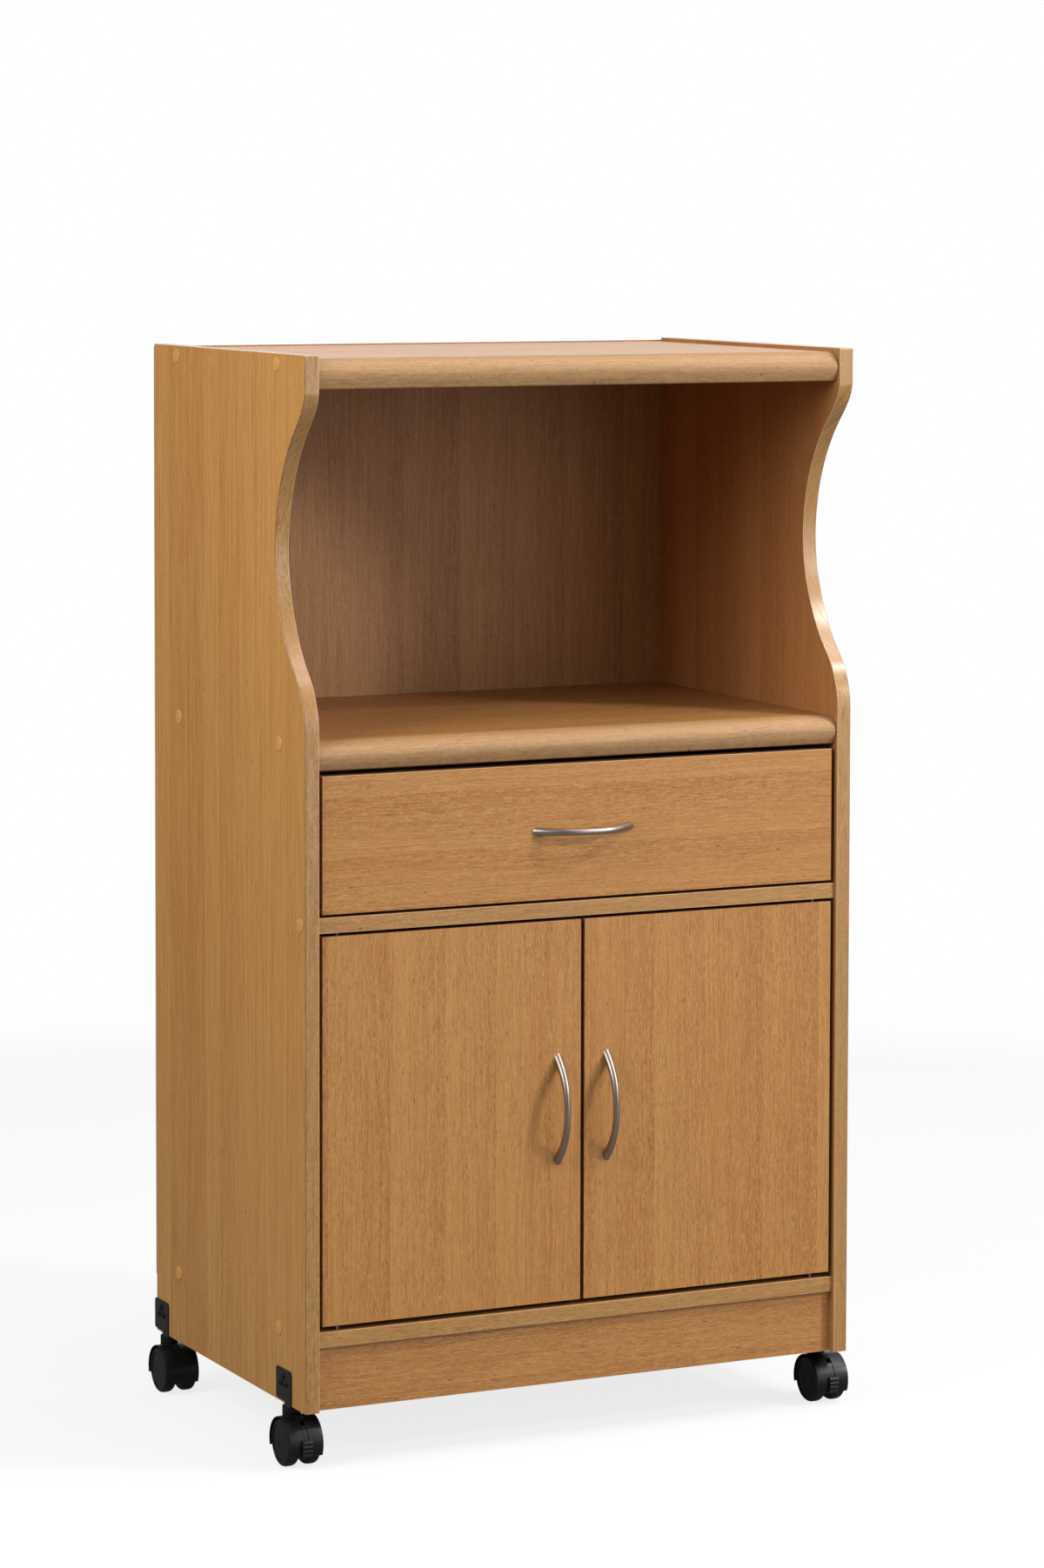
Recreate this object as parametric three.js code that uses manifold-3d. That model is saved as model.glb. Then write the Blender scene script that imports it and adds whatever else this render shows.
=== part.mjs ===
// A microwave cart: a tall open cabinet on four swivel casters, with a top board, an open bay with
// a shelf, a drawer on roller runners and a two-door cupboard with an adjustable shelf.
// Millimetres. +Z is up, the front looks along -Y, +X is to the right as seen from the front.
// The origin is on the floor, under the middle of the whole cart's footprint.
import * as THREE from "three";
import { mergeVertices } from "three/addons/utils/BufferGeometryUtils.js";
import Module from "manifold-3d";

// ---------------------------------------------------------------- driving dimensions
const WIDTH = 615; // over the outer faces of the side panels
const BOARD = 15.6; // thickness of every panel
const DEPTH = 397; // side panels, front edge to rear edge
const BACK = 3; // thin back panel, laid over the rear edges
const SIDE_H = 1048; // height of the side panels
const LIFT = 60; // floor to the underside of the side panels, the height of a caster
const HANDLE_OUT = 25; // how far a handle stands in front of its door
const RECESS = 3.5; // drawer, doors, rail and bottom sit this far behind the side panels' front edge

const TOP_Z = 1044; // upper face of the top board, above the underside of the side panels
const SHELF_Z = 667; // upper face of the microwave shelf
const RAIL_Z = [477.7, 493.3]; // rail between drawer and doors
const FLOOR_Z = [64, 79.6]; // bottom board
const NOSE_BACK = 25; // depth at which the front nosings meet their boards
const TOP_NOSE_H = 30;
const SHELF_NOSE_H = 28.8;
const RAIL_DEPTH = 50;
const KICK = 9; // toe kick, depth of its front face

const DRAWER_Z = [496.3, 633.5];
const DOOR_Z = [85, 474.4];
const SIDE_GAP = 4.5; // between a front and the side panel
const MID_GAP = 4; // between the two doors

const DRAWER_WALL = 12;
const DRAWER_BOX = [508, 608]; // height of the drawer's sides
const DRAWER_LEN = 350;
const RUNNER_T = 1.2; // sheet steel of the runners
const RUNNER_Z = 501; // underside of the runner fixed to the cabinet
const RUNNER_SPACE = 13; // between drawer side and cabinet side
const ROLLER_R = 8.5;
const ROLLER_W = 6;
const ROLLER_PIN_R = 2;

const PIVOT_IN = 18.5; // door pivot, in from the door's outer edge
const PIVOT_R = 2;
const FIT = 0.3; // clearance round pins and axles

const PEG_R = 2.5; // shelf peg
const PEG_DEPTHS = [70, 340];
const PEG_HOLES = [222, 254, 286];
const PEG_Z = 254;

const HANDLE_HALF = 50.7; // from the middle of a handle to where its centre line meets the face
const HANDLE_R = 3.3; // half the bar's thickness in the middle
const DRAWER_HANDLE_Z = 566;
const DOOR_HANDLE_Z = 282;
const DOOR_HANDLE_X = 27.7;

const WHEEL_R = 24;
const WHEEL_W = 12.5;
const WHEEL_IN = 5.2; // inner face of a wheel, from the caster's middle
const TRAIL = 12; // wheel axle ahead of the swivel axis
const HOOD_R = 26.4;
const WELL_R = 25.2;
const HOOD_HALF = 18.5;
const WEB_HALF = 4.6;
const AXLE_R = 3;
const STEM_R = 4;
const PLATE_T = 1.6;
const PLATE_W = 37;
const PLATE_H = 35;
const FRONT_PLATE = 33.5; // depth of the front plates' front edge
const REAR_PLATE = 362;

// ---------------------------------------------------------------- derived
const X_OUT = WIDTH / 2;
const X_IN = X_OUT - BOARD;
// the whole cart runs from the handles' front to the back panel's rear face
const Y0 = -(RECESS - HANDLE_OUT + DEPTH + BACK) / 2;
const D = (depth) => Y0 + depth; // depth behind the side panels' front edge
const Z = (z) => LIFT + z; // height above the underside of the side panels

const wasm = await Module();
wasm.setup();

// ---------------------------------------------------------------- solids
function solid(geometry) {
  let g = geometry.index ? geometry.toNonIndexed() : geometry.clone();
  for (const name of Object.keys(g.attributes))
    if (name !== "position") g.deleteAttribute(name);
  g = mergeVertices(g, 1e-4);
  return new wasm.Manifold(
    new wasm.Mesh({
      numProp: 3,
      vertProperties: new Float32Array(g.attributes.position.array),
      triVerts: new Uint32Array(g.index.array),
    }),
  );
}

function geometryOf(manifold) {
  const mesh = manifold.getMesh();
  const g = new THREE.BufferGeometry();
  g.setAttribute(
    "position",
    new THREE.Float32BufferAttribute(mesh.vertProperties, 3),
  );
  g.setIndex(new THREE.BufferAttribute(new Uint32Array(mesh.triVerts), 1));
  const flat = g.toNonIndexed();
  flat.computeVertexNormals();
  return flat;
}

function box(x0, x1, y0, y1, z0, z1) {
  return new THREE.BoxGeometry(
    Math.abs(x1 - x0),
    Math.abs(y1 - y0),
    Math.abs(z1 - z0),
  ).translate((x0 + x1) / 2, (y0 + y1) / 2, (z0 + z1) / 2);
}

function shapeOf(points) {
  const s = new THREE.Shape(points.map(([a, b]) => new THREE.Vector2(a, b)));
  return s;
}

function extrude(points, length) {
  return new THREE.ExtrudeGeometry(shapeOf(points), {
    depth: length,
    bevelEnabled: false,
    steps: 1,
  });
}

// outline in Y and Z, from x0 to x1
function prismX(points, x0, x1) {
  const m = new THREE.Matrix4().makeBasis(
    new THREE.Vector3(0, 1, 0),
    new THREE.Vector3(0, 0, 1),
    new THREE.Vector3(1, 0, 0),
  );
  return extrude(points, x1 - x0)
    .applyMatrix4(m)
    .translate(x0, 0, 0);
}

// outline in X and Z, from y0 to y1
function prismY(points, y0, y1) {
  const m = new THREE.Matrix4().makeBasis(
    new THREE.Vector3(1, 0, 0),
    new THREE.Vector3(0, 0, 1),
    new THREE.Vector3(0, -1, 0),
  );
  return extrude(points, y1 - y0)
    .applyMatrix4(m)
    .translate(0, y1, 0);
}

// outline in X and Y, from z0 to z1
function prismZ(points, z0, z1) {
  return extrude(points, z1 - z0).translate(0, 0, z0);
}

function cylX(r, x0, x1, y, z, sides = 16) {
  return new THREE.CylinderGeometry(r, r, x1 - x0, sides)
    .rotateZ(Math.PI / 2)
    .translate((x0 + x1) / 2, y, z);
}

function cylZ(r, z0, z1, x, y, sides = 16) {
  return new THREE.CylinderGeometry(r, r, z1 - z0, sides)
    .rotateX(Math.PI / 2)
    .translate(x, y, (z0 + z1) / 2);
}

// profile of [radius, along], turned round an axis parallel to X; the part runs towards `side`
function latheX(profile, side, x, y, z, sides) {
  const g = new THREE.LatheGeometry(
    profile.map(([r, a]) => new THREE.Vector2(r, a)),
    sides,
  );
  g.rotateZ(-Math.PI / 2); // the lathe's +Y becomes +X
  if (side < 0) g.rotateZ(Math.PI);
  return g.translate(x, y, z);
}

function latheZ(profile, x, y, z, sides) {
  const g = new THREE.LatheGeometry(
    profile.map(([r, a]) => new THREE.Vector2(r, a)),
    sides,
  );
  return g.rotateX(Math.PI / 2).translate(x, y, z);
}

const facingOut = (m) => {
  if (m.volume() > 0) return m;
  const mesh = m.getMesh();
  const t = new Uint32Array(mesh.triVerts);
  for (let i = 0; i < t.length; i += 3) [t[i + 1], t[i + 2]] = [t[i + 2], t[i + 1]];
  return new wasm.Manifold(
    new wasm.Mesh({ numProp: 3, vertProperties: mesh.vertProperties, triVerts: t }),
  );
};

const make = (g) => facingOut(solid(g));
const join = (...parts) => parts.map(make).reduce((a, b) => a.add(b));
const cut = (body, ...tools) =>
  tools.map(make).reduce((a, b) => a.subtract(b), body);

// ---------------------------------------------------------------- materials
const finish = (color, roughness, metalness) => ({ color, roughness, metalness });
const BEECH = finish(0xb98a55, 0.45, 0);
const BEECH_EDGE = finish(0xa98258, 0.5, 0);
const HARDBOARD = finish(0x8a6a4c, 0.7, 0);
const NICKEL = finish(0xb3aea8, 0.3, 1);
const ZINC = finish(0xb9bcc0, 0.35, 1);
const WHITE_STEEL = finish(0xe8e6e0, 0.4, 0.2);
const NYLON = finish(0xe6e4de, 0.45, 0);
const BLACK_STEEL = finish(0x17161a, 0.4, 0.6);
const BLACK_PLASTIC = finish(0x141416, 0.45, 0);

const cart = new THREE.Group();

function piece(name, manifold, look, parent = cart) {
  const mesh = new THREE.Mesh(
    geometryOf(manifold),
    new THREE.MeshStandardMaterial(look),
  );
  mesh.name = name;
  parent.add(mesh);
  return mesh;
}

// ---------------------------------------------------------------- side panels
// The front edge is straight beside the cupboard and the drawer and sweeps back beside the bay.
// [height, depth of the edge]
const SWEEP = [
  [676, 0],
  [686, 0.8],
  [696, 2.9],
  [706, 6.8],
  [717, 12.4],
  [727, 19.6],
  [737, 29.0],
  [748, 38.4],
  [760, 46.9],
  [773, 54.4],
  [788, 61.6],
  [805, 68.0],
  [822, 72.4],
  [840, 74.9],
  [856, 75.3],
  [872, 73.9],
  [888, 71.1],
  [904, 67.0],
  [920, 60.8],
  [935, 53.4],
  [948, 45.5],
  [960, 36.8],
  [970, 28.3],
  [979, 19.8],
  [988, 11.8],
  [996, 6.0],
  [1004, 2.0],
  [1011, 0],
];
const sweep = new THREE.SplineCurve(
  SWEEP.map(([z, d]) => new THREE.Vector2(d, z)),
).getSpacedPoints(46);
const sideOutline = [
  [D(0), Z(0)],
  ...sweep.map((p) => [D(Math.max(0, p.x)), Z(p.y)]),
  [D(0), Z(SIDE_H - 1.2)],
  [D(1.2), Z(SIDE_H)],
  [D(DEPTH), Z(SIDE_H)],
  [D(DEPTH), Z(0)],
];
for (const side of [-1, 1]) {
  const x0 = side < 0 ? -X_OUT : X_IN;
  const holes = [];
  for (const depth of PEG_DEPTHS)
    for (const z of PEG_HOLES)
      holes.push(
        side < 0
          ? cylX(PEG_R + FIT, -X_IN - 9, -X_IN + 1, D(depth), Z(z), 12)
          : cylX(PEG_R + FIT, X_IN - 1, X_IN + 9, D(depth), Z(z), 12),
      );
  piece(
    side < 0 ? "left_side_panel" : "right_side_panel",
    cut(make(prismX(sideOutline, x0, x0 + BOARD)), ...holes),
    BEECH,
  );
}

// ---------------------------------------------------------------- boards between the sides
piece(
  "top_panel",
  make(box(-X_IN, X_IN, D(NOSE_BACK), D(DEPTH), Z(TOP_Z - BOARD), Z(TOP_Z))),
  BEECH,
);
piece(
  "microwave_shelf",
  make(
    box(-X_IN, X_IN, D(NOSE_BACK), D(DEPTH), Z(SHELF_Z - BOARD), Z(SHELF_Z)),
  ),
  BEECH,
);

// A nosing is a rounded rail in front of its board: [depth, below the board's upper face]
const NOSE = [
  [NOSE_BACK, 0],
  [22, 0.05],
  [18, 0.4],
  [14, 1.2],
  [10.5, 2.5],
  [7.5, 4.4],
  [5, 6.8],
  [3.2, 9.6],
  [2.2, 12.4],
  [1.9, 15.2],
  [2.3, 18.2],
  [3.2, 21.2],
  [4.6, 24.2],
  [6.2, 26.8],
];
const nosing = (top, height) =>
  make(
    prismX(
      [
        ...NOSE.map(([d, z]) => [D(d), Z(top - z * (height / TOP_NOSE_H))]),
        [D(7.8), Z(top - height)],
        [D(NOSE_BACK), Z(top - height)],
      ],
      -X_IN,
      X_IN,
    ),
  );
piece("top_nosing", nosing(TOP_Z, TOP_NOSE_H), BEECH);
piece("shelf_nosing", nosing(SHELF_Z, SHELF_NOSE_H), BEECH);

const pivotX = X_IN - SIDE_GAP - PIVOT_IN;
const pivotY = D(RECESS + BOARD / 2);
piece(
  "divider_rail",
  cut(
    make(box(-X_IN, X_IN, D(RECESS), D(RAIL_DEPTH), Z(RAIL_Z[0]), Z(RAIL_Z[1]))),
    ...[-1, 1].map((s) =>
      cylZ(PIVOT_R + FIT, Z(RAIL_Z[0] - 1), Z(RAIL_Z[0] + 9), s * pivotX, pivotY, 12),
    ),
  ),
  BEECH,
);
piece(
  "bottom_panel",
  cut(
    make(box(-X_IN, X_IN, D(RECESS), D(DEPTH), Z(FLOOR_Z[0]), Z(FLOOR_Z[1]))),
    ...[-1, 1].map((s) =>
      cylZ(PIVOT_R + FIT, Z(FLOOR_Z[1] - 9), Z(FLOOR_Z[1] + 1), s * pivotX, pivotY, 12),
    ),
  ),
  BEECH,
);
piece(
  "toe_kick",
  make(box(-X_IN, X_IN, D(KICK), D(KICK + BOARD), Z(0), Z(FLOOR_Z[0]))),
  BEECH,
);
piece(
  "back_panel",
  make(
    box(-X_OUT + 0.6, X_OUT - 0.6, D(DEPTH), D(DEPTH + BACK), Z(60), Z(1045.5)),
  ),
  HARDBOARD,
);

// ---------------------------------------------------------------- adjustable shelf and its pegs
const shelfBottom = PEG_Z + PEG_R + 0.05;
piece(
  "inner_shelf",
  make(
    box(-X_IN + 1.5, X_IN - 1.5, D(45), D(395), Z(shelfBottom), Z(shelfBottom + BOARD)),
  ),
  BEECH,
);
for (const side of [-1, 1])
  for (const [i, depth] of PEG_DEPTHS.entries()) {
    // a steel peg, half in the panel and half under the shelf
    const profile = [
      [0, -8],
      [PEG_R, -8],
      [PEG_R, 9.5],
      [PEG_R - 0.5, 10],
      [0, 10],
    ];
    piece(
      `shelf_peg_${side < 0 ? "left" : "right"}_${i ? "rear" : "front"}`,
      make(latheX(profile, -side, side * X_IN, D(depth), Z(PEG_Z), 12)),
      ZINC,
    );
  }

// ---------------------------------------------------------------- bow handle
// A round bar on a flat arch, thicker towards the feet, cut off flush with the face it stands on.
function bowHandle() {
  const rings = 27,
    sides = 10,
    reach = 1.12;
  const rise = HANDLE_OUT - HANDLE_R;
  const pos = [],
    idx = [];
  for (let i = 0; i < rings; i++) {
    const s = reach * ((2 * i) / (rings - 1) - 1);
    const t = Math.abs(s);
    const height = rise * (1 - Math.pow(t, 2.38));
    const slope = (-rise * 2.38 * Math.sign(s) * Math.pow(t, 1.38)) / HANDLE_HALF;
    const normal = new THREE.Vector2(-slope, 1).normalize();
    const r = HANDLE_R + 1.15 * Math.pow(t, 2.5);
    for (let k = 0; k < sides; k++) {
      const a = ((k + 0.5) / sides) * 2 * Math.PI;
      pos.push(
        s * HANDLE_HALF + normal.x * Math.sin(a) * r,
        Math.cos(a) * r,
        height + normal.y * Math.sin(a) * r,
      );
    }
  }
  for (let i = 0; i < rings - 1; i++)
    for (let k = 0; k < sides; k++) {
      const a = i * sides + k,
        b = i * sides + ((k + 1) % sides);
      idx.push(a, b, a + sides, b, b + sides, a + sides);
    }
  const last = (rings - 1) * sides;
  for (let k = 1; k < sides - 1; k++) {
    idx.push(0, k + 1, k);
    idx.push(last, last + k, last + k + 1);
  }
  const g = new THREE.BufferGeometry();
  g.setAttribute("position", new THREE.Float32BufferAttribute(pos, 3));
  g.setIndex(idx);
  return geometryOf(cut(make(g), box(-80, 80, -12, 12, -40, 0)));
}

// ---------------------------------------------------------------- drawer
const drawer = new THREE.Group();
cart.add(drawer);
const frontX = X_IN - SIDE_GAP;
const boxX = X_IN - RUNNER_SPACE; // outer face of a drawer side
const wallX = boxX - DRAWER_WALL;
const drawerY = D(RECESS + BOARD); // rear face of the drawer front
const GROOVE = [513.7, 517.3];
piece(
  "drawer_front",
  cut(
    make(
      box(-frontX, frontX, D(RECESS), drawerY, Z(DRAWER_Z[0]), Z(DRAWER_Z[1])),
    ),
    box(-wallX - 4.3, wallX + 4.3, drawerY - 5, drawerY + 1, Z(GROOVE[0]), Z(GROOVE[1])),
  ),
  BEECH,
  drawer,
);
for (const side of [-1, 1]) {
  const outline = [
    [boxX, DRAWER_BOX[0]],
    [boxX, DRAWER_BOX[1]],
    [wallX, DRAWER_BOX[1]],
    [wallX, GROOVE[1]],
    [wallX + 4.3, GROOVE[1]],
    [wallX + 4.3, GROOVE[0]],
    [wallX, GROOVE[0]],
    [wallX, DRAWER_BOX[0]],
  ].map(([x, z]) => [side * x, Z(z)]);
  piece(
    side < 0 ? "drawer_side_left" : "drawer_side_right",
    make(prismY(outline, drawerY, drawerY + DRAWER_LEN)),
    BEECH_EDGE,
    drawer,
  );
}
piece(
  "drawer_back",
  make(
    box(
      -wallX, wallX,
      drawerY + DRAWER_LEN - DRAWER_WALL, drawerY + DRAWER_LEN,
      Z(GROOVE[1]), Z(DRAWER_BOX[1] - 4),
    ),
  ),
  BEECH_EDGE,
  drawer,
);
piece(
  "drawer_bottom",
  make(
    box(
      -wallX - 4, wallX + 4,
      drawerY - 4.7, drawerY + DRAWER_LEN - 0.3,
      Z(GROOVE[0] + 0.3), Z(GROOVE[1] - 0.3),
    ),
  ),
  HARDBOARD,
  drawer,
);
{
  // along X, standing out towards -Y
  const m = new THREE.Matrix4().makeBasis(
    new THREE.Vector3(1, 0, 0),
    new THREE.Vector3(0, 0, 1),
    new THREE.Vector3(0, -1, 0),
  );
  piece(
    "drawer_handle",
    make(bowHandle().applyMatrix4(m).translate(0, D(RECESS), Z(DRAWER_HANDLE_Z))),
    NICKEL,
    drawer,
  );
}

// ---------------------------------------------------------------- roller runners
const railY0 = drawerY + 2.9,
  railY1 = railY0 + DRAWER_LEN;
const slideY0 = drawerY + 0.9,
  slideY1 = slideY0 + DRAWER_LEN;
const FLANGE = 10.5; // width of the fixed runner's flanges
const CH_H = 24; // height of its channel
const flangeZ = RUNNER_Z + 19; // underside of the moving runner's flange
const frontRoller = [railY0 + 12, RUNNER_Z + 10.2];
const rearRoller = [slideY1 - 12, RUNNER_Z + RUNNER_T + ROLLER_R + 0.1];
const rollerX = X_IN - 4; // outer face of a roller
for (const side of [-1, 1]) {
  const name = side < 0 ? "left" : "right";
  const fixed = [
    [X_IN, RUNNER_Z],
    [X_IN, RUNNER_Z + CH_H],
    [X_IN - FLANGE, RUNNER_Z + CH_H],
    [X_IN - FLANGE, RUNNER_Z + CH_H - RUNNER_T],
    [X_IN - RUNNER_T, RUNNER_Z + CH_H - RUNNER_T],
    [X_IN - RUNNER_T, RUNNER_Z + RUNNER_T],
    [X_IN - FLANGE, RUNNER_Z + RUNNER_T],
    [X_IN - FLANGE, RUNNER_Z],
  ].map(([x, z]) => [side * x, Z(z)]);
  const pin = (x0, x1, [y, z]) =>
    cylX(ROLLER_PIN_R, Math.min(side * x0, side * x1), Math.max(side * x0, side * x1), y, Z(z), 12);
  piece(
    `cabinet_runner_${name}`,
    join(
      prismY(fixed, railY0, railY1),
      pin(rollerX - ROLLER_W - 0.5, X_IN - 0.6, frontRoller),
    ),
    WHITE_STEEL,
  );
  const moving = [
    [boxX - 14, DRAWER_BOX[0] - RUNNER_T],
    [boxX - 14, DRAWER_BOX[0]],
    [boxX, DRAWER_BOX[0]],
    [boxX, flangeZ + RUNNER_T],
    [X_IN - 3, flangeZ + RUNNER_T],
    [X_IN - 3, flangeZ],
    [boxX + RUNNER_T, flangeZ],
    [boxX + RUNNER_T, DRAWER_BOX[0] - RUNNER_T],
  ].map(([x, z]) => [side * x, Z(z)]);
  piece(
    `drawer_runner_${name}`,
    join(
      prismY(moving, slideY0, slideY1),
      pin(boxX + 0.6, rollerX + 0.5, rearRoller),
    ),
    WHITE_STEEL,
    drawer,
  );
  const bore = ROLLER_PIN_R + FIT;
  const rollerProfile = [
    [bore, 0],
    [ROLLER_R - 0.6, 0],
    [ROLLER_R, 0.8],
    [ROLLER_R, ROLLER_W],
    [bore, ROLLER_W],
    [bore, 0],
  ];
  const roller = ([y, z]) =>
    make(latheX(rollerProfile, -side, side * rollerX, y, Z(z), 16));
  piece(`runner_roller_front_${name}`, roller(frontRoller), NYLON);
  piece(`runner_roller_rear_${name}`, roller(rearRoller), NYLON, drawer);
}

// ---------------------------------------------------------------- doors on pivot pins
for (const side of [-1, 1]) {
  const name = side < 0 ? "left" : "right";
  const door = new THREE.Group();
  cart.add(door);
  const hole = (z0, z1) =>
    cylZ(PIVOT_R + FIT, Z(z0), Z(z1), side * pivotX, pivotY, 12);
  piece(
    `door_${name}`,
    cut(
      make(
        box(side * (MID_GAP / 2), side * frontX, D(RECESS), D(RECESS + BOARD), Z(DOOR_Z[0]), Z(DOOR_Z[1])),
      ),
      hole(DOOR_Z[1] - 13, DOOR_Z[1] + 1),
      hole(DOOR_Z[0] - 1, DOOR_Z[0] + 13),
    ),
    BEECH,
    door,
  );
  // along Z, standing out towards -Y
  const m = new THREE.Matrix4().makeBasis(
    new THREE.Vector3(0, 0, 1),
    new THREE.Vector3(1, 0, 0),
    new THREE.Vector3(0, -1, 0),
  );
  const handle = bowHandle().applyMatrix4(m);
  piece(
    `door_handle_${name}`,
    make(handle.translate(side * DOOR_HANDLE_X, D(RECESS), Z(DOOR_HANDLE_Z))),
    NICKEL,
    door,
  );
  // a pin, half in the carcass and half in the door
  const pinProfile = (low, high) => [
    [0, low],
    [PIVOT_R - 0.3, low],
    [PIVOT_R, low + 0.3],
    [PIVOT_R, high - 0.3],
    [PIVOT_R - 0.3, high],
    [0, high],
  ];
  piece(
    `door_pivot_pin_${name}_upper`,
    make(
      latheZ(
        pinProfile(Z(DOOR_Z[1] - 12), Z(RAIL_Z[0] + 8)),
        side * pivotX, pivotY, 0, 12,
      ),
    ),
    ZINC,
  );
  piece(
    `door_pivot_pin_${name}_lower`,
    make(
      latheZ(
        pinProfile(Z(FLOOR_Z[1] - 8), Z(DOOR_Z[0] + 12)),
        side * pivotX, pivotY, 0, 12,
      ),
    ),
    ZINC,
  );
}

// the catch under the rail: a housing with two magnet noses, one behind each door
piece(
  "magnetic_catch",
  join(
    box(-22, 22, D(23), D(38), Z(RAIL_Z[0] - 13), Z(RAIL_Z[0])),
    box(-17, -5, D(20.3), D(24), Z(RAIL_Z[0] - 10.5), Z(RAIL_Z[0] - 3)),
    box(5, 17, D(20.3), D(24), Z(RAIL_Z[0] - 10.5), Z(RAIL_Z[0] - 3)),
  ),
  BLACK_PLASTIC,
);

// ---------------------------------------------------------------- casters
const arc = (cy, cz, r, a0, a1, n) =>
  Array.from({ length: n + 1 }, (_, i) => {
    const a = ((a0 + ((a1 - a0) * i) / n) * Math.PI) / 180;
    return [cy - r * Math.cos(a), cz + r * Math.sin(a)]; // 0 degrees is the front, 90 the top
  });
const sector = (cy, cz, r0, r1, a0, a1, n) => [
  ...arc(cy, cz, r0, a0, a1, n),
  ...arc(cy, cz, r1, a1, a0, n),
];

for (const end of ["front", "rear"])
  for (const side of [-1, 1]) {
    const name = `${end}_${side < 0 ? "left" : "right"}`;
    const plate = end === "front" ? FRONT_PLATE : REAR_PLATE;
    const stemX = side * (X_OUT - 7.5);
    const stemY = D(plate + PLATE_W / 2);
    const axleY = stemY - TRAIL,
      axleZ = WHEEL_R;

    // plate on the panel's outer face, a narrow neck round its lower edge, a leg with the stem below
    const outline = [
      [plate, -PLATE_T],
      [plate + 13.5, -PLATE_T],
      [plate + 13.5, 0.4],
      [plate + 14.6, 2.2],
      [plate + 16.6, 3],
      [plate + PLATE_W - 3, 3],
      [plate + PLATE_W - 0.9, 3.9],
      [plate + PLATE_W, 6],
      [plate + PLATE_W, PLATE_H - 4],
      [plate + PLATE_W - 1.2, PLATE_H - 1.2],
      [plate + PLATE_W - 4, PLATE_H],
      [plate + 4, PLATE_H],
      [plate + 1.2, PLATE_H - 1.2],
      [plate, PLATE_H - 4],
    ].map(([d, z]) => [D(d), Z(z)]);
    const xo = X_OUT,
      xp = X_OUT + PLATE_T;
    const plateSolid = make(
      side < 0 ? prismX(outline, -xp, -xo) : prismX(outline, xo, xp),
    );
    const leg = [
      [xp, plate],
      [xp, plate + 13.5],
      [xo - 1, plate + 13.5],
      [xo - 2.4, plate + 30],
      [xo - 18, plate + 30],
      [xo - 18, plate],
    ].map(([x, d]) => [side * x, D(d)]);
    const legSolid = make(prismZ(leg, Z(-PLATE_T), Z(0)));
    const stem = make(cylZ(STEM_R, 47, Z(-PLATE_T) + 0.8, stemX, stemY, 14));
    const screwHoles = [
      [plate + 18.5, PLATE_H - 7.5],
      [plate + 12.5, PLATE_H - 15],
      [plate + 24.5, PLATE_H - 15],
    ].map(([d, z]) =>
      make(cylX(2.1, side < 0 ? -xp - 1 : xo - 1, side < 0 ? -xo + 1 : xp + 1, D(d), Z(z), 8)),
    );
    piece(
      `caster_bracket_${name}`,
      screwHoles.reduce((a, b) => a.subtract(b), plateSolid.add(legSolid).add(stem)),
      BLACK_STEEL,
    );

    // hood: a web between the wheels, a cover over both, and a boss for the stem
    const hood = new THREE.Group();
    cart.add(hood);
    let body = make(
      prismX(arc(axleY, axleZ, HOOD_R, -25, 197, 30), stemX - HOOD_HALF, stemX + HOOD_HALF),
    );
    body = body.add(make(cylZ(9.4, 34, Z(-PLATE_T) - 0.8, stemX, stemY, 20)));
    for (const s of [-1, 1]) {
      const a = stemX + s * WEB_HALF,
        b = stemX + s * (HOOD_HALF + 2);
      body = body.subtract(
        make(cylX(WELL_R, Math.min(a, b), Math.max(a, b), axleY, axleZ, 36)),
      );
    }
    body = body.subtract(
      make(cylX(AXLE_R + FIT, stemX - WEB_HALF - 1, stemX + WEB_HALF + 1, axleY, axleZ, 14)),
    );
    body = body.subtract(make(cylZ(STEM_R + FIT, 46.5, 60, stemX, stemY, 14)));
    if (end === "front") {
      body = body.subtract(
        make(
          prismX(sector(axleY, axleZ, 19.5, 28.5, 7, 60, 6), stemX - 2.8, stemX + 2.8),
        ),
      );
      const pivot = arc(axleY, axleZ, 23.8, 46, 46, 1)[0];
      const pedal = make(
        prismX(sector(axleY, axleZ, 21.8, 25.8, 9.5, 46, 5), stemX - 2.2, stemX + 2.2),
      )
        .add(make(cylX(2.2, stemX - 2.2, stemX + 2.2, pivot[0], pivot[1], 12)))
        .add(
          make(
            prismX(sector(axleY, axleZ, 21.8, 29.4, 9.5, 13, 1), stemX - 2.2, stemX + 2.2),
          ),
        )
        .add(
          make(
            prismX(sector(axleY, axleZ, 26.9, 29.9, -24, 13, 6), stemX - 5.5, stemX + 5.5),
          ),
        );
      piece(`brake_pedal_${name}`, pedal, BLACK_PLASTIC, hood);
    }
    piece(`caster_hood_${name}`, body, BLACK_PLASTIC, hood);
    piece(
      `caster_axle_${name}`,
      make(cylX(AXLE_R, stemX - 14.9, stemX + 14.9, axleY, axleZ, 14)),
      ZINC,
      hood,
    );
    const wheelProfile = [
      [0, 11.7],
      [19.4, 11.7],
      [19.8, WHEEL_W],
      [21.6, WHEEL_W],
      [WHEEL_R, 9.6],
      [WHEEL_R, 3.4],
      [22, 0],
      [AXLE_R + FIT, 0],
      [AXLE_R + FIT, 10],
      [0, 10],
    ];
    for (const s of [-1, 1])
      piece(
        `wheel_${name}_${s === side ? "outer" : "inner"}`,
        make(latheX(wheelProfile, s, stemX + s * WHEEL_IN, axleY, axleZ, 24)),
        BLACK_PLASTIC,
        hood,
      );
  }

export default cart;
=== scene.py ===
import math

import bmesh
import bpy
from mathutils import Matrix, Vector


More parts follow.
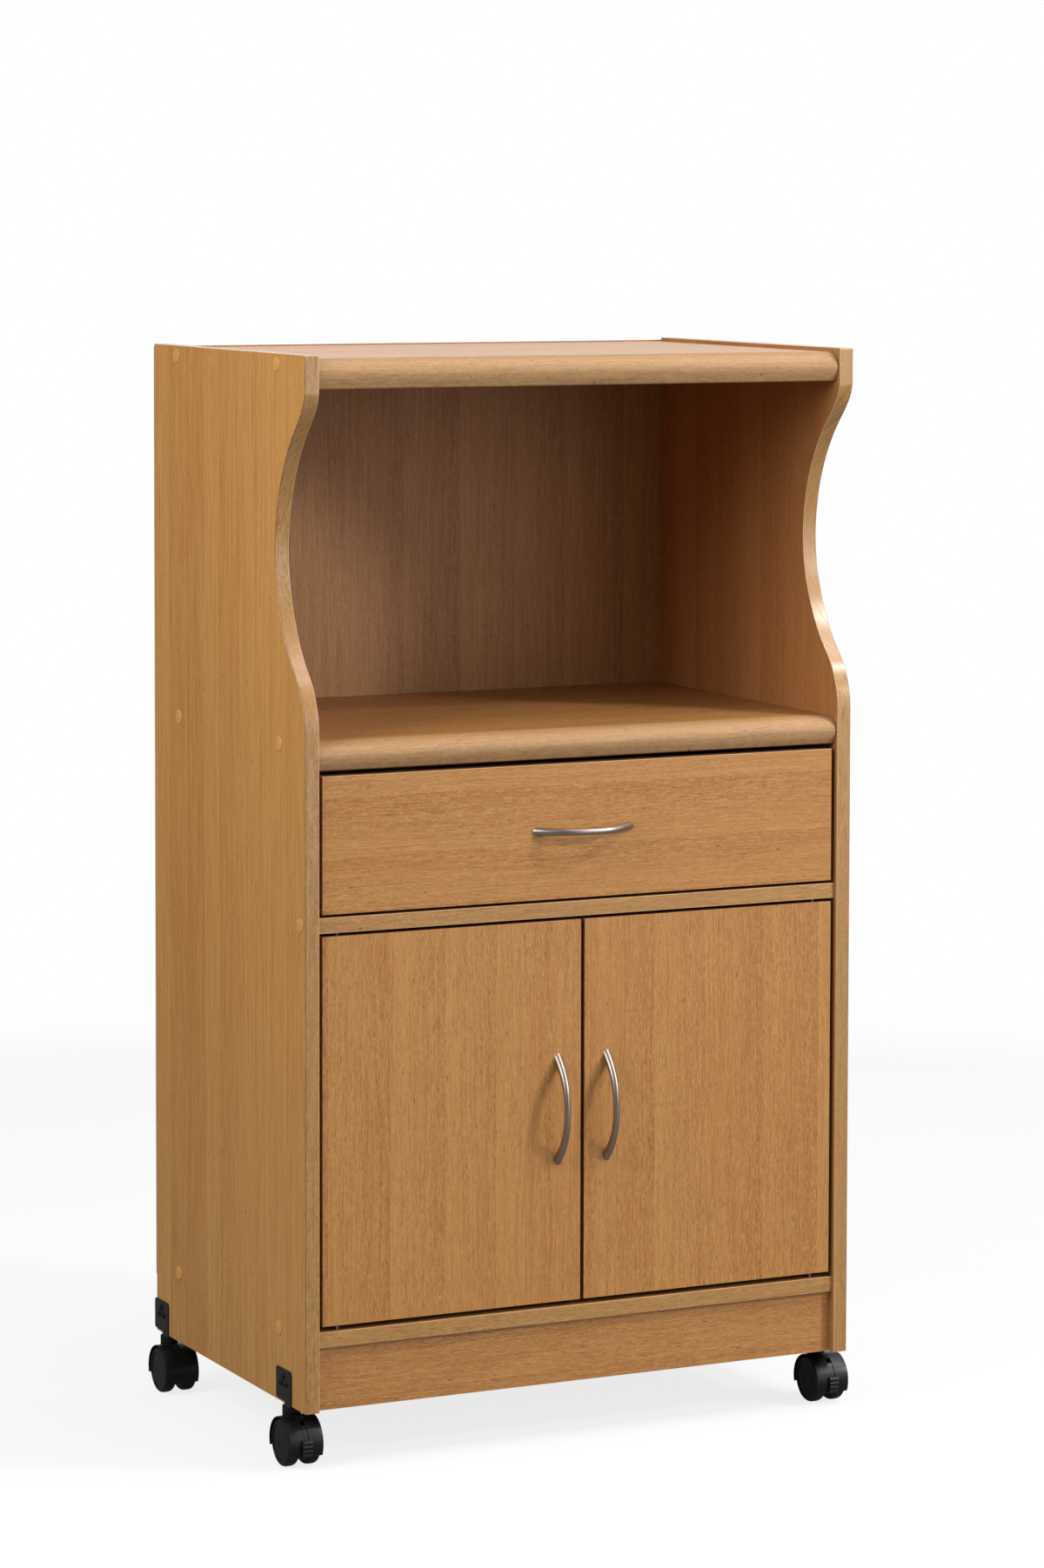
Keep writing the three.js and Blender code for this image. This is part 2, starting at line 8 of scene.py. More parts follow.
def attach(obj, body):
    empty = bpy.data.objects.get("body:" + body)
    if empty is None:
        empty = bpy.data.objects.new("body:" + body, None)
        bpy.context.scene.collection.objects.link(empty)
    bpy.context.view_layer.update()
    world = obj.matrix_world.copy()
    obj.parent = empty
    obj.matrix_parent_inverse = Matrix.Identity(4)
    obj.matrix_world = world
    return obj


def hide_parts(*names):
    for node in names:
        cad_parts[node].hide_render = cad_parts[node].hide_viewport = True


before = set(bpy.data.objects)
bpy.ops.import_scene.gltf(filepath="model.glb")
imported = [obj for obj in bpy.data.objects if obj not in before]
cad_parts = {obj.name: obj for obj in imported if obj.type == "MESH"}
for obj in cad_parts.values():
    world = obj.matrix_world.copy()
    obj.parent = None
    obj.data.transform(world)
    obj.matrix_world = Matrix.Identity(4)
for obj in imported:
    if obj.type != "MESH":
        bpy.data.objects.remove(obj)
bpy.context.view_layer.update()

scene = bpy.context.scene

# Lengths below are millimetres, as in the CAD, and become metres when a mesh is made.
# The front looks along -Y. A "depth" is measured from the side panels' front edge, a "height"
# from the underside of the side panels.
Y0 = -189.25
LIFT = 60.0
X_OUT = 307.5
BOARD = 15.6
X_IN = X_OUT - BOARD


def D(depth):
    return Y0 + depth


def Z(height):
    return LIFT + height


# ------------------------------------------------------------------------------------ camera
AZ, EL, ROLL = math.radians(-25.97), math.radians(3.90), math.radians(0.13)
back = Vector((math.sin(AZ) * math.cos(EL), -math.cos(AZ) * math.cos(EL), math.sin(EL)))
right = Vector((0, 0, 1)).cross(back).normalized()
up = back.cross(right)
right, up = (
    right * math.cos(ROLL) + up * math.sin(ROLL),
    up * math.cos(ROLL) - right * math.sin(ROLL),
)
cam_data = bpy.data.cameras.new("camera")
cam = bpy.data.objects.new("camera", cam_data)
scene.collection.objects.link(cam)
cam.matrix_world = Matrix(
    (
        (right.x, up.x, back.x, -2.15951),
        (right.y, up.y, back.y, -4.47607),
        (right.z, up.z, back.z, 1.26406),
        (0, 0, 0, 1),
    )
)
cam_data.sensor_width = 36.0
cam_data.sensor_fit = "AUTO"
cam_data.lens = 5505.8 / 1803 * 36
cam_data.shift_x = 0.0
cam_data.shift_y = (600 - 901.5) / 1803
cam_data.clip_end = 200
scene.camera = cam


# ------------------------------------------------------------------------------------ nodes
def lin(r, g, b):
    """Display colour, 0 to 255, to a linear one."""

    def f(c):
        c = c / 255
        return c / 12.92 if c <= 0.04045 else ((c + 0.055) / 1.055) ** 2.4

    return (f(r), f(g), f(b), 1.0)


class Tree:
    """Short names for the shader nodes that the materials are made of."""

    def __init__(self, name):
        self.mat = bpy.data.materials.new(name)
        self.mat.use_nodes = True
        self.nt = self.mat.node_tree
        self.nt.nodes.clear()
        self.out = self.new("ShaderNodeOutputMaterial")
        self.bsdf = self.new("ShaderNodeBsdfPrincipled")
        self.link(self.bsdf.outputs["BSDF"], self.out.inputs["Surface"])

    def new(self, kind):
        return self.nt.nodes.new(kind)

    def link(self, a, b):
        self.nt.links.new(a, b)

    def put(self, socket, value):
        if isinstance(value, bpy.types.NodeSocket):
            self.link(value, socket)
        else:
            socket.default_value = value

    def math(self, op, a, b=0.0, clamp=False):
        n = self.new("ShaderNodeMath")
        n.operation = op
        n.use_clamp = clamp
        self.put(n.inputs[0], a)
        if len(n.inputs) > 1:
            self.put(n.inputs[1], b)
        return n.outputs[0]

    def add(self, a, b):
        return self.math("ADD", a, b)

    def sub(self, a, b):
        return self.math("SUBTRACT", a, b)

    def mul(self, a, b):
        return self.math("MULTIPLY", a, b)

    def xyz(self, x, y, z):
        n = self.new("ShaderNodeCombineXYZ")
        for i, v in enumerate((x, y, z)):
            self.put(n.inputs[i], v)
        return n.outputs[0]

    def noise(self, vec, detail=2.0, rough=0.5, distort=0.0):
        n = self.new("ShaderNodeTexNoise")
        n.noise_dimensions = "3D"
        self.put(n.inputs["Vector"], vec)
        n.inputs["Scale"].default_value = 1.0
        n.inputs["Detail"].default_value = detail
        n.inputs["Roughness"].default_value = rough
        n.inputs["Distortion"].default_value = distort
        return n.outputs["Fac"]

    def ramp(self, fac, stops, interpolation="LINEAR"):
        """stops: (position, grey or colour)."""
        n = self.new("ShaderNodeValToRGB")
        n.color_ramp.interpolation = interpolation
        els = n.color_ramp.elements
        while len(els) > 1:
            els.remove(els[-1])
        for i, (p, c) in enumerate(stops):
            e = els[0] if i == 0 else els.new(p)
            e.position = p
            e.color = c if isinstance(c, tuple) else (c, c, c, 1.0)
        self.put(n.inputs["Fac"], fac)
        return n.outputs["Color"]

    def mix(self, fac, a, b, blend="MIX"):
        n = self.new("ShaderNodeMix")
        n.data_type = "RGBA"
        n.blend_type = blend
        self.put(n.inputs["Factor"], fac)
        for socket, v in (("A", a), ("B", b)):
            for s in n.inputs:
                if s.name == socket and s.type == "RGBA":
                    self.put(s, v)
        return next(s for s in n.outputs if s.type == "RGBA")

    def remap(self, v, a, b, c, d, smooth=False):
        n = self.new("ShaderNodeMapRange")
        n.clamp = True
        n.interpolation_type = "SMOOTHSTEP" if smooth else "LINEAR"
        self.put(n.inputs["Value"], v)
        for name, x in zip(("From Min", "From Max", "To Min", "To Max"), (a, b, c, d)):
            n.inputs[name].default_value = x
        return n.outputs["Result"]

    def bump(self, height, strength, distance):
        n = self.new("ShaderNodeBump")
        n.inputs["Strength"].default_value = strength
        n.inputs["Distance"].default_value = distance
        self.put(n.inputs["Height"], height)
        self.link(n.outputs["Normal"], self.bsdf.inputs["Normal"])

    def mm(self, shift=(0, 0, 0)):
        """The three coordinates on the piece, in millimetres, and its normal."""
        tc = self.new("ShaderNodeTexCoord")
        m = self.new("ShaderNodeMapping")
        m.inputs["Scale"].default_value = (1000, 1000, 1000)
        m.inputs["Location"].default_value = shift
        self.link(tc.outputs["Object"], m.inputs["Vector"])
        s = self.new("ShaderNodeSeparateXYZ")
        self.link(m.outputs["Vector"], s.inputs[0])
        n = self.new("ShaderNodeSeparateXYZ")
        self.link(tc.outputs["Normal"], n.inputs[0])
        return list(s.outputs), list(n.outputs)


# ------------------------------------------------------------------------------------ materials
AX = {"X": 0, "Y": 1, "Z": 2}


def wood(
    name,
    along,
    across,
    shift=(0, 0, 0),
    light=(187, 141, 82),
    dark=(164, 109, 53),
    fleck=(122, 76, 36),
    gleam=(201, 155, 98),
    strip=58.0,
    strip_amount=1.0,
    fleck_amount=1.0,
    streak=1.0,
    gradient=0.0,
    rough=0.42,
    seam=None,
    spec=0.45,
    line=0.0,
    saw=0.62,
):
    """Printed beech: strips of slightly different tone across the grain, long fine streaks, and
    the short dark dashes and bright ticks of beech rays. `seam` is a dark glue line on an edge band:
    (axis, from, to) in millimetres on the absolute coordinate."""
    t = Tree(name)
    co, normal = t.mm(shift)
    u, v = co[AX[across]], co[AX[along]]
    w = co[3 - AX[across] - AX[along]]
    s = t.add(u, w)  # so that an edge goes on from its face

    # slow waves of the grain, a few millimetres wide and a hand long
    wave = t.noise(t.xyz(t.mul(s, 0.016), t.mul(v, 0.0042), 3.1), 2.0, 0.5)
    ripple = t.noise(t.xyz(t.mul(s, 0.11), t.mul(v, 0.028), 7.7), 1.0, 0.5)
    bent = t.add(s, t.add(t.mul(t.sub(wave, 0.5), 9.0), t.mul(t.sub(ripple, 0.5), 2.4)))

    # strips with a sharp edge on one side, shading off to the other
    warp = t.noise(t.xyz(t.mul(u, 0.013), 11.3, 2.0), 1.0, 0.5)
    place = t.math("DIVIDE", t.add(u, t.mul(t.sub(warp, 0.5), 46.0)), strip)
    cell = t.math("FLOOR", place)
    part = t.math("FRACT", place)
    white = t.new("ShaderNodeTexWhiteNoise")
    white.noise_dimensions = "1D"
    t.link(cell, white.inputs["W"])
    shade = t.add(t.mul(white.outputs["Value"], 1.05 - saw), t.mul(t.math("POWER", part, 1.35), saw))

    # broad and fine streaks along the grain
    broad = t.noise(t.xyz(t.mul(bent, 0.085), t.mul(v, 0.0016), 1.7), 3.0, 0.55)
    fine = t.noise(t.xyz(t.mul(bent, 0.62), t.mul(v, 0.008), 5.2), 2.0, 0.6)
    hair = t.noise(t.xyz(t.mul(bent, 1.25), t.mul(v, 0.016), 9.4), 1.0, 0.5)
    lines = t.noise(t.xyz(t.mul(bent, 0.30), t.mul(v, 0.0055), 15.8), 1.0, 0.5)
    tone = t.add(
        t.mul(t.sub(shade, 0.5), 0.62 * strip_amount),
        t.add(
            t.mul(t.sub(broad, 0.5), 0.26 * streak),
            t.add(
                t.mul(t.sub(lines, 0.5), 0.70 * streak),
                t.add(t.mul(t.sub(fine, 0.5), 1.05 * streak), t.mul(t.sub(hair, 0.5), 1.20 * streak)),
            ),
        ),
    )
    tone = t.add(tone, 0.5)
    tone = t.remap(tone, 0.0, 1.0, 0.0, 1.0)
    colour = t.mix(tone, lin(*light), lin(*dark))

    # rays: dashes as long as 3 to 9 mm and half a millimetre wide, denser in the redder strips
    dash = t.noise(t.xyz(t.mul(bent, 0.78), t.mul(v, 0.088), 12.6), 1.5, 0.5)
    crowd = t.noise(t.xyz(t.mul(s, 0.022), t.mul(v, 0.0035), 20.2), 1.0, 0.5)
    crowd = t.remap(t.add(crowd, t.mul(t.sub(shade, 0.5), 0.45 * strip_amount)), 0.32, 0.64, 0.62, 1.0)
    dark_dash = t.mul(t.remap(dash, 0.56, 0.66, 0.0, 1.0), crowd)
    light_dash = t.mul(t.remap(dash, 0.44, 0.35, 0.0, 1.0), crowd)
    colour = t.mix(t.mul(dark_dash, 0.36 * fleck_amount), colour, lin(*fleck))
    colour = t.mix(t.mul(light_dash, 0.42 * fleck_amount), colour, lin(*gleam))
    # and a finer crackle between them
    tick = t.noise(t.xyz(t.mul(bent, 1.45), t.mul(v, 0.20), 44.1), 1.0, 0.5)
    dark_tick = t.mul(t.remap(tick, 0.55, 0.66, 0.0, 1.0), crowd)
    light_tick = t.mul(t.remap(tick, 0.45, 0.34, 0.0, 1.0), crowd)
    colour = t.mix(t.mul(dark_tick, 0.36 * fleck_amount), colour, lin(*fleck))
    colour = t.mix(t.mul(light_tick, 0.36 * fleck_amount), colour, lin(*gleam))
    if line:
        joint = t.remap(part, 0.0, 0.05, line, 0.0)
        colour = t.mix(joint, colour, lin(*fleck))

    # rare pin marks
    pins = t.noise(t.xyz(t.mul(bent, 0.30), t.mul(v, 0.10), 31.0), 0.0, 0.5)
    pin = t.remap(pins, 0.80, 0.86, 0.0, 0.55)
    colour = t.mix(pin, colour, lin(96, 58, 30))

    if seam:
        axis, a, b = seam
        place = t.math("ABSOLUTE", co[AX[axis]])
        glue = t.mul(t.remap(place, a, a + 0.12, 0.0, 1.0), t.remap(place, b, b + 0.12, 1.0, 0.0))
        broken = t.noise(t.xyz(t.mul(v, 0.05), 4.0, 8.0), 2.0, 0.6)
        glue = t.mul(glue, t.remap(broken, 0.35, 0.62, 0.40, 0.72))
        colour = t.mix(glue, colour, lin(70, 42, 22))
    t.link(colour, t.bsdf.inputs["Base Color"])

    gloss = t.noise(t.xyz(t.mul(s, 0.035), t.mul(v, 0.012), 6.6), 3.0, 0.55)
    r = t.add(
        rough,
        t.add(t.mul(t.sub(gloss, 0.5), 0.10), t.add(t.mul(dark_dash, 0.10), t.mul(t.sub(fine, 0.5), 0.06))),
    )
    t.link(r, t.bsdf.inputs["Roughness"])
    t.bsdf.inputs["Specular IOR Level"].default_value = spec
    height = t.add(t.mul(dark_dash, -0.8), t.add(t.mul(light_dash, 0.25), t.mul(t.sub(fine, 0.5), 0.6)))
    t.bump(height, 0.22, 0.00012)
    return t.mat


def raw_board(name, base=(150, 118, 84), speck=(104, 74, 46), rough=0.78, scale=1.0):
    """Pressed fibres: chipboard or hardboard where no foil covers it."""
    t = Tree(name)
    co, _ = t.mm()
    vec = t.xyz(*[t.mul(c, 0.55 * scale) for c in co])
    chip = t.new("ShaderNodeTexVoronoi")
    chip.feature = "F1"
    t.link(vec, chip.inputs["Vector"])
    chip.inputs["Scale"].default_value = 1.0
    sep = t.new("ShaderNodeSeparateColor")
    t.link(chip.outputs["Color"], sep.inputs[0])
    fibres = t.noise(t.xyz(*[t.mul(c, 1.6 * scale) for c in co]), 4.0, 0.65)
    cloud = t.noise(t.xyz(*[t.mul(c, 0.02) for c in co]), 3.0, 0.5)
    tone = t.add(t.mul(sep.outputs[0], 0.45), t.add(t.mul(fibres, 0.45), t.mul(t.sub(cloud, 0.5), 0.5)))
    colour = t.mix(t.remap(tone, 0.15, 0.85, 0.0, 1.0), lin(*speck), lin(*base))
    t.link(colour, t.bsdf.inputs["Base Color"])
    t.link(t.remap(fibres, 0.2, 0.8, rough - 0.08, rough + 0.1), t.bsdf.inputs["Roughness"])
    t.bump(t.add(fibres, t.mul(sep.outputs[1], 0.4)), 0.45, 0.0003)
    return t.mat


def screened_board(name):
    """The wire-screen face of hardboard: a fine square mesh pressed into brown fibre."""
    t = Tree(name)
    co, _ = t.mm()
    x, z = co[0], co[2]
    wx = t.math("SINE", t.mul(x, 2 * math.pi / 1.7))
    wz = t.math("SINE", t.mul(z, 2 * math.pi / 1.7))
    mesh = t.mul(wx, wz)
    fibres = t.noise(t.xyz(t.mul(x, 0.9), t.mul(z, 0.9), t.mul(co[1], 0.9)), 4.0, 0.65)
    cloud = t.noise(t.xyz(t.mul(x, 0.011), t.mul(z, 0.011), 4.4), 4.0, 0.55)
    tone = t.add(t.mul(fibres, 0.55), t.add(t.mul(cloud, 0.5), t.mul(mesh, 0.05)))
    colour = t.mix(t.remap(tone, 0.25, 0.85, 0.0, 1.0), lin(128, 91, 58), lin(176, 136, 96))
    t.link(colour, t.bsdf.inputs["Base Color"])
    t.link(t.remap(fibres, 0.2, 0.8, 0.66, 0.86), t.bsdf.inputs["Roughness"])
    t.bump(t.add(t.mul(mesh, 0.5), t.mul(fibres, 0.6)), 0.5, 0.0003)
    return t.mat


def nickel(name):
    """Satin nickel: fine brushing along the bar, slight clouding."""
    t = Tree(name)
    co, _ = t.mm()
    cloud = t.noise(t.xyz(*[t.mul(c, 0.06) for c in co]), 3.0, 0.55)
    grit = t.noise(t.xyz(*[t.mul(c, 2.6) for c in co]), 3.0, 0.6)
    brush = t.noise(t.xyz(t.mul(co[0], 3.2), t.mul(co[1], 0.5), t.mul(co[2], 3.2)), 2.0, 0.6)
    colour = t.mix(t.add(t.mul(cloud, 0.6), t.mul(grit, 0.3)), lin(143, 131, 122), lin(176, 162, 151))
    t.link(colour, t.bsdf.inputs["Base Color"])
    t.bsdf.inputs["Metallic"].default_value = 1.0
    rough = t.add(0.39, t.add(t.mul(t.sub(grit, 0.5), 0.12), t.mul(t.sub(cloud, 0.5), 0.10)))
    t.link(rough, t.bsdf.inputs["Roughness"])
    t.bump(t.add(brush, t.mul(grit, 0.5)), 0.10, 0.00006)
    return t.mat


def zinc(name, tint=(196, 198, 202), rough=0.34):
    t = Tree(name)
    co, _ = t.mm()
    cloud = t.noise(t.xyz(*[t.mul(c, 0.35) for c in co]), 4.0, 0.6)
    grit = t.noise(t.xyz(*[t.mul(c, 3.0) for c in co]), 2.0, 0.6)
    dimmer = tuple(int(c * 0.78) for c in tint)
    t.link(t.mix(cloud, lin(*dimmer), lin(*tint)), t.bsdf.inputs["Base Color"])
    t.bsdf.inputs["Metallic"].default_value = 1.0
    t.link(t.add(rough, t.mul(t.sub(cloud, 0.5), 0.22)), t.bsdf.inputs["Roughness"])
    t.bump(grit, 0.12, 0.0001)
    return t.mat


def plastic(name, base, tip, rough, grain=1.4, bump=0.16, spec=0.5, wear=0.0, worn=(70, 70, 72)):
    """Moulded plastic or powder coat: fine pebble, slight clouds of gloss, rubbed high spots."""
    t = Tree(name)
    co, _ = t.mm()
    pebble = t.noise(t.xyz(*[t.mul(c, grain) for c in co]), 3.0, 0.6)
    cloud = t.noise(t.xyz(*[t.mul(c, 0.11) for c in co]), 3.0, 0.6)
    dust = t.noise(t.xyz(*[t.mul(c, 0.45) for c in co]), 5.0, 0.7)
    tone = t.add(t.mul(pebble, 0.35), t.mul(cloud, 0.65))
    colour = t.mix(t.remap(tone, 0.3, 0.7, 0.0, 1.0), lin(*base), lin(*tip))
    if wear:
        geo = t.new("ShaderNodeNewGeometry")
        edge = t.remap(geo.outputs["Pointiness"], 0.505, 0.56, 0.0, 1.0)
        colour = t.mix(t.mul(t.mul(edge, t.remap(dust, 0.4, 0.65, 0.0, 1.0)), wear), colour, lin(*worn))
    t.link(colour, t.bsdf.inputs["Base Color"])
    t.bsdf.inputs["Specular IOR Level"].default_value = spec
    t.link(
        t.add(rough, t.add(t.mul(t.sub(cloud, 0.5), 0.16), t.mul(t.sub(dust, 0.5), 0.10))),
        t.bsdf.inputs["Roughness"],
    )
    t.bump(pebble, bump, 0.00025)
    return t.mat


def tread_rubber(name):
    """Nylon tread: turned lines round the wheel, scuffs where it rolls."""
    t = Tree(name)
    co, _ = t.mm()
    lines = t.noise(t.xyz(t.mul(co[0], 2.4), t.mul(co[1], 0.08), t.mul(co[2], 0.08)), 2.0, 0.6)
    scuff = t.noise(t.xyz(*[t.mul(c, 0.30) for c in co]), 5.0, 0.72)
    colour = t.mix(t.remap(scuff, 0.42, 0.72, 0.0, 1.0), lin(12, 12, 13), lin(30, 29, 30))
    t.link(colour, t.bsdf.inputs["Base Color"])
    t.bsdf.inputs["Specular IOR Level"].default_value = 0.30
    t.link(t.remap(scuff, 0.3, 0.7, 0.30, 0.52), t.bsdf.inputs["Roughness"])
    t.bump(t.add(t.mul(lines, 0.7), t.mul(scuff, 0.5)), 0.20, 0.0002)
    return t.mat


BEECH = dict(light=(190, 137, 74), dark=(167, 106, 48))
M = {}
# side panels: straight, quiet streaks; fronts: busier; boards between: grain from side to side
SIDE = dict(light=(194, 143, 76), dark=(170, 112, 51), fleck=(124, 76, 34), fleck_amount=0.45, strip=44, strip_amount=0.75, streak=1.30, line=0.32, saw=0.22)
M["side_left"] = wood("beech_side_left", "Z", "Y", (3, 17, 0), **SIDE)
M["side_right"] = wood("beech_side_right", "Z", "Y", (91, -42, 60), **SIDE)
M["side_inner"] = wood("beech_side_inner", "Z", "Y", (-140, 73, 20), light=(179, 123, 72), dark=(155, 95, 48), fleck_amount=0.45, strip=48, streak=0.75, line=0.12, saw=0.25, rough=0.5)
M["door_left"] = wood("beech_door_left", "Z", "X", (31, 0, 211), strip=62, **BEECH)
M["door_right"] = wood("beech_door_right", "Z", "X", (-17, 0, 530), strip=62, **BEECH)
M["drawer_front"] = wood("beech_drawer_front", "X", "Z", (140, 0, 25), strip=64, **BEECH)
M["kick"] = wood("beech_toe_kick", "X", "Z", (-150, 0, 47), strip=60, light=(192, 138, 78), dark=(166, 107, 52))
M["top"] = wood("beech_top", "X", "Y", (70, 33, 0), strip=60, rough=0.36, **BEECH)
# bay shelf: beech darkened and reddened as painted shade
M["shelf"] = wood("beech_shelf_painted_shade", "X", "Y", (-210, 9, 0), strip=60, rough=0.42, light=(178, 126, 70), dark=(152, 97, 47))
M["inner"] = wood("beech_inner_shelf", "X", "Y", (400, -70, 0), strip=60, **BEECH)
M["floor_board"] = wood("beech_bottom", "X", "Y", (-90, 51, 0), strip=60, **BEECH)
EDGE = dict(light=(183, 140, 85), dark=(159, 112, 62), fleck=(112, 74, 40), strip_amount=0.3, fleck_amount=1.0, streak=0.9, rough=0.27, spec=0.6)
FLAT = dict(light=(186, 141, 85), dark=(160, 110, 57), fleck=(120, 78, 40), strip_amount=0.3, fleck_amount=0.9, streak=0.9, rough=0.38)
# the left panel shows the glue line of its edge band along the outer arris
M["edge_side_left"] = wood("beech_edge_side_left", "Z", "X", (5, 0, 88), strip=40, seam=("X", X_OUT - 1.25 - 5, X_OUT - 0.55 - 5), **EDGE)
M["edge_side_right"] = wood("beech_edge_side_right", "Z", "X", (5, 0, 301), strip=40, **EDGE)
# door and drawer edges, which face the gaps between the fronts: the beech band darkened to a red brown as painted shade
SHADED_BAND = dict(light=(138, 90, 51), dark=(112, 69, 36), fleck=(82, 49, 26), strip_amount=0.3, fleck_amount=0.8, streak=0.8, rough=0.42)
M["edge_door"] = wood("beech_band_upright_painted_shade", "Z", "Y", (9, 6, 40), strip=40, **SHADED_BAND)
M["edge_drawer"] = wood("beech_band_level_painted_shade", "X", "Y", (33, 0, 3), strip=40, **SHADED_BAND)
M["edge_flat"] = wood("beech_edge_level", "X", "Z", (61, 0, 3), strip=40, **FLAT)
# rounded edges: the band's paler trimmed corner, lightened further as a painted highlight
M["arris"] = wood("beech_arris_painted_highlight", "Z", "X", (0, 0, 0), light=(222, 182, 136), dark=(200, 156, 108), fleck=(166, 118, 74), fleck_amount=0.3, strip_amount=0.2, rough=0.28, spec=0.6)
M["nosing"] = wood("beech_nosing_foil", "X", "Z", (12, 0, 77), light=(183, 144, 101), dark=(166, 123, 81), fleck=(128, 90, 57), strip_amount=0.25, fleck_amount=0.8, strip=70, rough=0.56, spec=0.38)
M["back_print"] = wood("beech_back_print", "Z", "X", (222, 0, 19), light=(172, 125, 72), dark=(146, 96, 50), fleck_amount=0.5, strip=66, rough=0.5)
M["drawer_wrap"] = wood("beech_drawer_wrap", "Y", "Z", (0, 120, 45), light=(203, 164, 112), dark=(186, 140, 88), strip=50, strip_amount=0.5, fleck_amount=0.6, rough=0.46)
M["drawer_wrap_x"] = wood("beech_drawer_wrap_back", "X", "Z", (77, 20, 45), light=(203, 164, 112), dark=(186, 140, 88), strip=50, strip_amount=0.5, fleck_amount=0.6, rough=0.46)
M["drawer_floor"] = wood("beech_drawer_floor", "Y", "X", (0, 210, 0), light=(198, 156, 104), dark=(180, 132, 80), strip=70, strip_amount=0.6, fleck_amount=0.5, rough=0.5)
M["chip"] = raw_board("chipboard_edge", base=(176, 142, 100), speck=(128, 92, 56))
M["hardboard"] = screened_board("hardboard_back")
M["hardboard_edge"] = raw_board("hardboard_edge", base=(190, 174, 156), speck=(150, 130, 110), scale=1.6)
M["cap"] = plastic("screw_cap_plastic", (196, 140, 70), (206, 152, 82), 0.34, grain=0.8, bump=0.08)
M["nickel"] = nickel("satin_nickel")
M["zinc"] = zinc("zinc_plate")
M["pin"] = zinc("pivot_pin_steel", tint=(150, 148, 146), rough=0.36)
M["screw"] = zinc("screw_steel", tint=(178, 178, 180), rough=0.30)
M["white_steel"] = plastic("white_powder_coat", (226, 224, 217), (234, 232, 226), 0.38, grain=0.9, bump=0.14, wear=0.5, worn=(176, 174, 168))
M["nylon"] = plastic("white_nylon", (224, 222, 214), (233, 231, 224), 0.42, grain=1.1, bump=0.10)
M["black_steel"] = plastic("black_powder_coat", (15, 12, 12), (20, 17, 17), 0.36, grain=1.8, bump=0.22, spec=0.26, wear=0.30, worn=(60, 56, 54))
M["black"] = plastic("black_moulded_plastic", (11, 11, 12), (16, 16, 17), 0.38, grain=1.5, bump=0.09, spec=0.30, wear=0.28, worn=(54, 54, 56))
M["black_disc"] = plastic("black_wheel_disc", (11, 11, 12), (15, 15, 16), 0.34, grain=1.9, bump=0.20, spec=0.24, wear=0.25, worn=(50, 50, 52))
M["tread"] = tread_rubber("black_tread")


# ------------------------------------------------------------------------------------ mesh tools
def to_object(name, bm, mats, sharp=38.0, weighted=True):
    bmesh.ops.remove_doubles(bm, verts=list(bm.verts), dist=2e-4)
    bmesh.ops.recalc_face_normals(bm, faces=list(bm.faces))
    for v in bm.verts:
        v.co *= 0.001
    me = bpy.data.meshes.new(name)
    bm.to_mesh(me)
    bm.free()
    for m in mats:
        me.materials.append(m)
    me.polygons.foreach_set("use_smooth", [True] * len(me.polygons))
    me.set_sharp_from_angle(angle=math.radians(sharp))
    me.update()
    o = bpy.data.objects.new(name, me)
    scene.collection.objects.link(o)
    if weighted:
        mod = o.modifiers.new("normals", "WEIGHTED_NORMAL")
        mod.keep_sharp = True
    return o


def piece(name, bm, mats, body, nodes=(), sharp=38.0, weighted=True):
    o = to_object(name, bm, mats if isinstance(mats, (list, tuple)) else [mats], sharp, weighted)
    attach(o, body)
    if nodes:
        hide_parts(*([nodes] if isinstance(nodes, str) else nodes))
    return o


def box(x0, x1, y0, y1, z0, z1, r=0.5, seg=2):
    x0, x1 = min(x0, x1), max(x0, x1)
    bm = bmesh.new()
    bmesh.ops.create_cube(bm, size=1.0)
    for v in bm.verts:
        v.co = Vector(
            (
                (x0 + x1) / 2 + v.co.x * (x1 - x0),
                (y0 + y1) / 2 + v.co.y * (y1 - y0),
                (z0 + z1) / 2 + v.co.z * (z1 - z0),
            )
        )
    if r:
        round_edges(bm, list(bm.edges), r, seg)
    return bm


def round_edges(bm, edges, r, seg=2):
    bmesh.ops.bevel(
        bm, geom=edges, offset=r, offset_type="OFFSET", segments=seg, profile=0.5,
        affect="EDGES", clamp_overlap=True,
    )


ORDER = {"x": (2, 0, 1), "y": (0, 2, 1), "z": (0, 1, 2)}


def prism(axis, pts, a0, a1, r=0.0, seg=2, corners=0.0):
    """Outline in the other two axes, from a0 to a1; r rounds the two outlines' edges, corners the
    edges between them."""
    bm = bmesh.new()

    def at(p, a):
        if axis == "x":
            return (a, p[0], p[1])
        if axis == "y":
            return (p[0], a, p[1])
        return (p[0], p[1], a)

    low = [bm.verts.new(at(p, a0)) for p in pts]
    high = [bm.verts.new(at(p, a1)) for p in pts]
    n = len(pts)
    bm.faces.new(low)
    bm.faces.new(high)
    for i in range(n):
        bm.faces.new((low[i], low[(i + 1) % n], high[(i + 1) % n], high[i]))
    bmesh.ops.recalc_face_normals(bm, faces=list(bm.faces))
    if corners:
        ring = set(low) | set(high)
        walls = []
        for e in bm.edges:
            if (e.verts[0] in low) != (e.verts[1] in low) and e.verts[0] in ring:
                if e.calc_face_angle(0) > math.radians(25):
                    walls.append(e)
        round_edges(bm, walls, corners, 3)
    if r:
        caps = [e for e in bm.edges if max(len(f.verts) for f in e.link_faces) > 4 and min(len(f.verts) for f in e.link_faces) <= 4]
        if n <= 4 and not corners:
            caps = [e for e in bm.edges if not ((e.verts[0] in low) != (e.verts[1] in low))]
        round_edges(bm, caps, r, seg)
    return bm


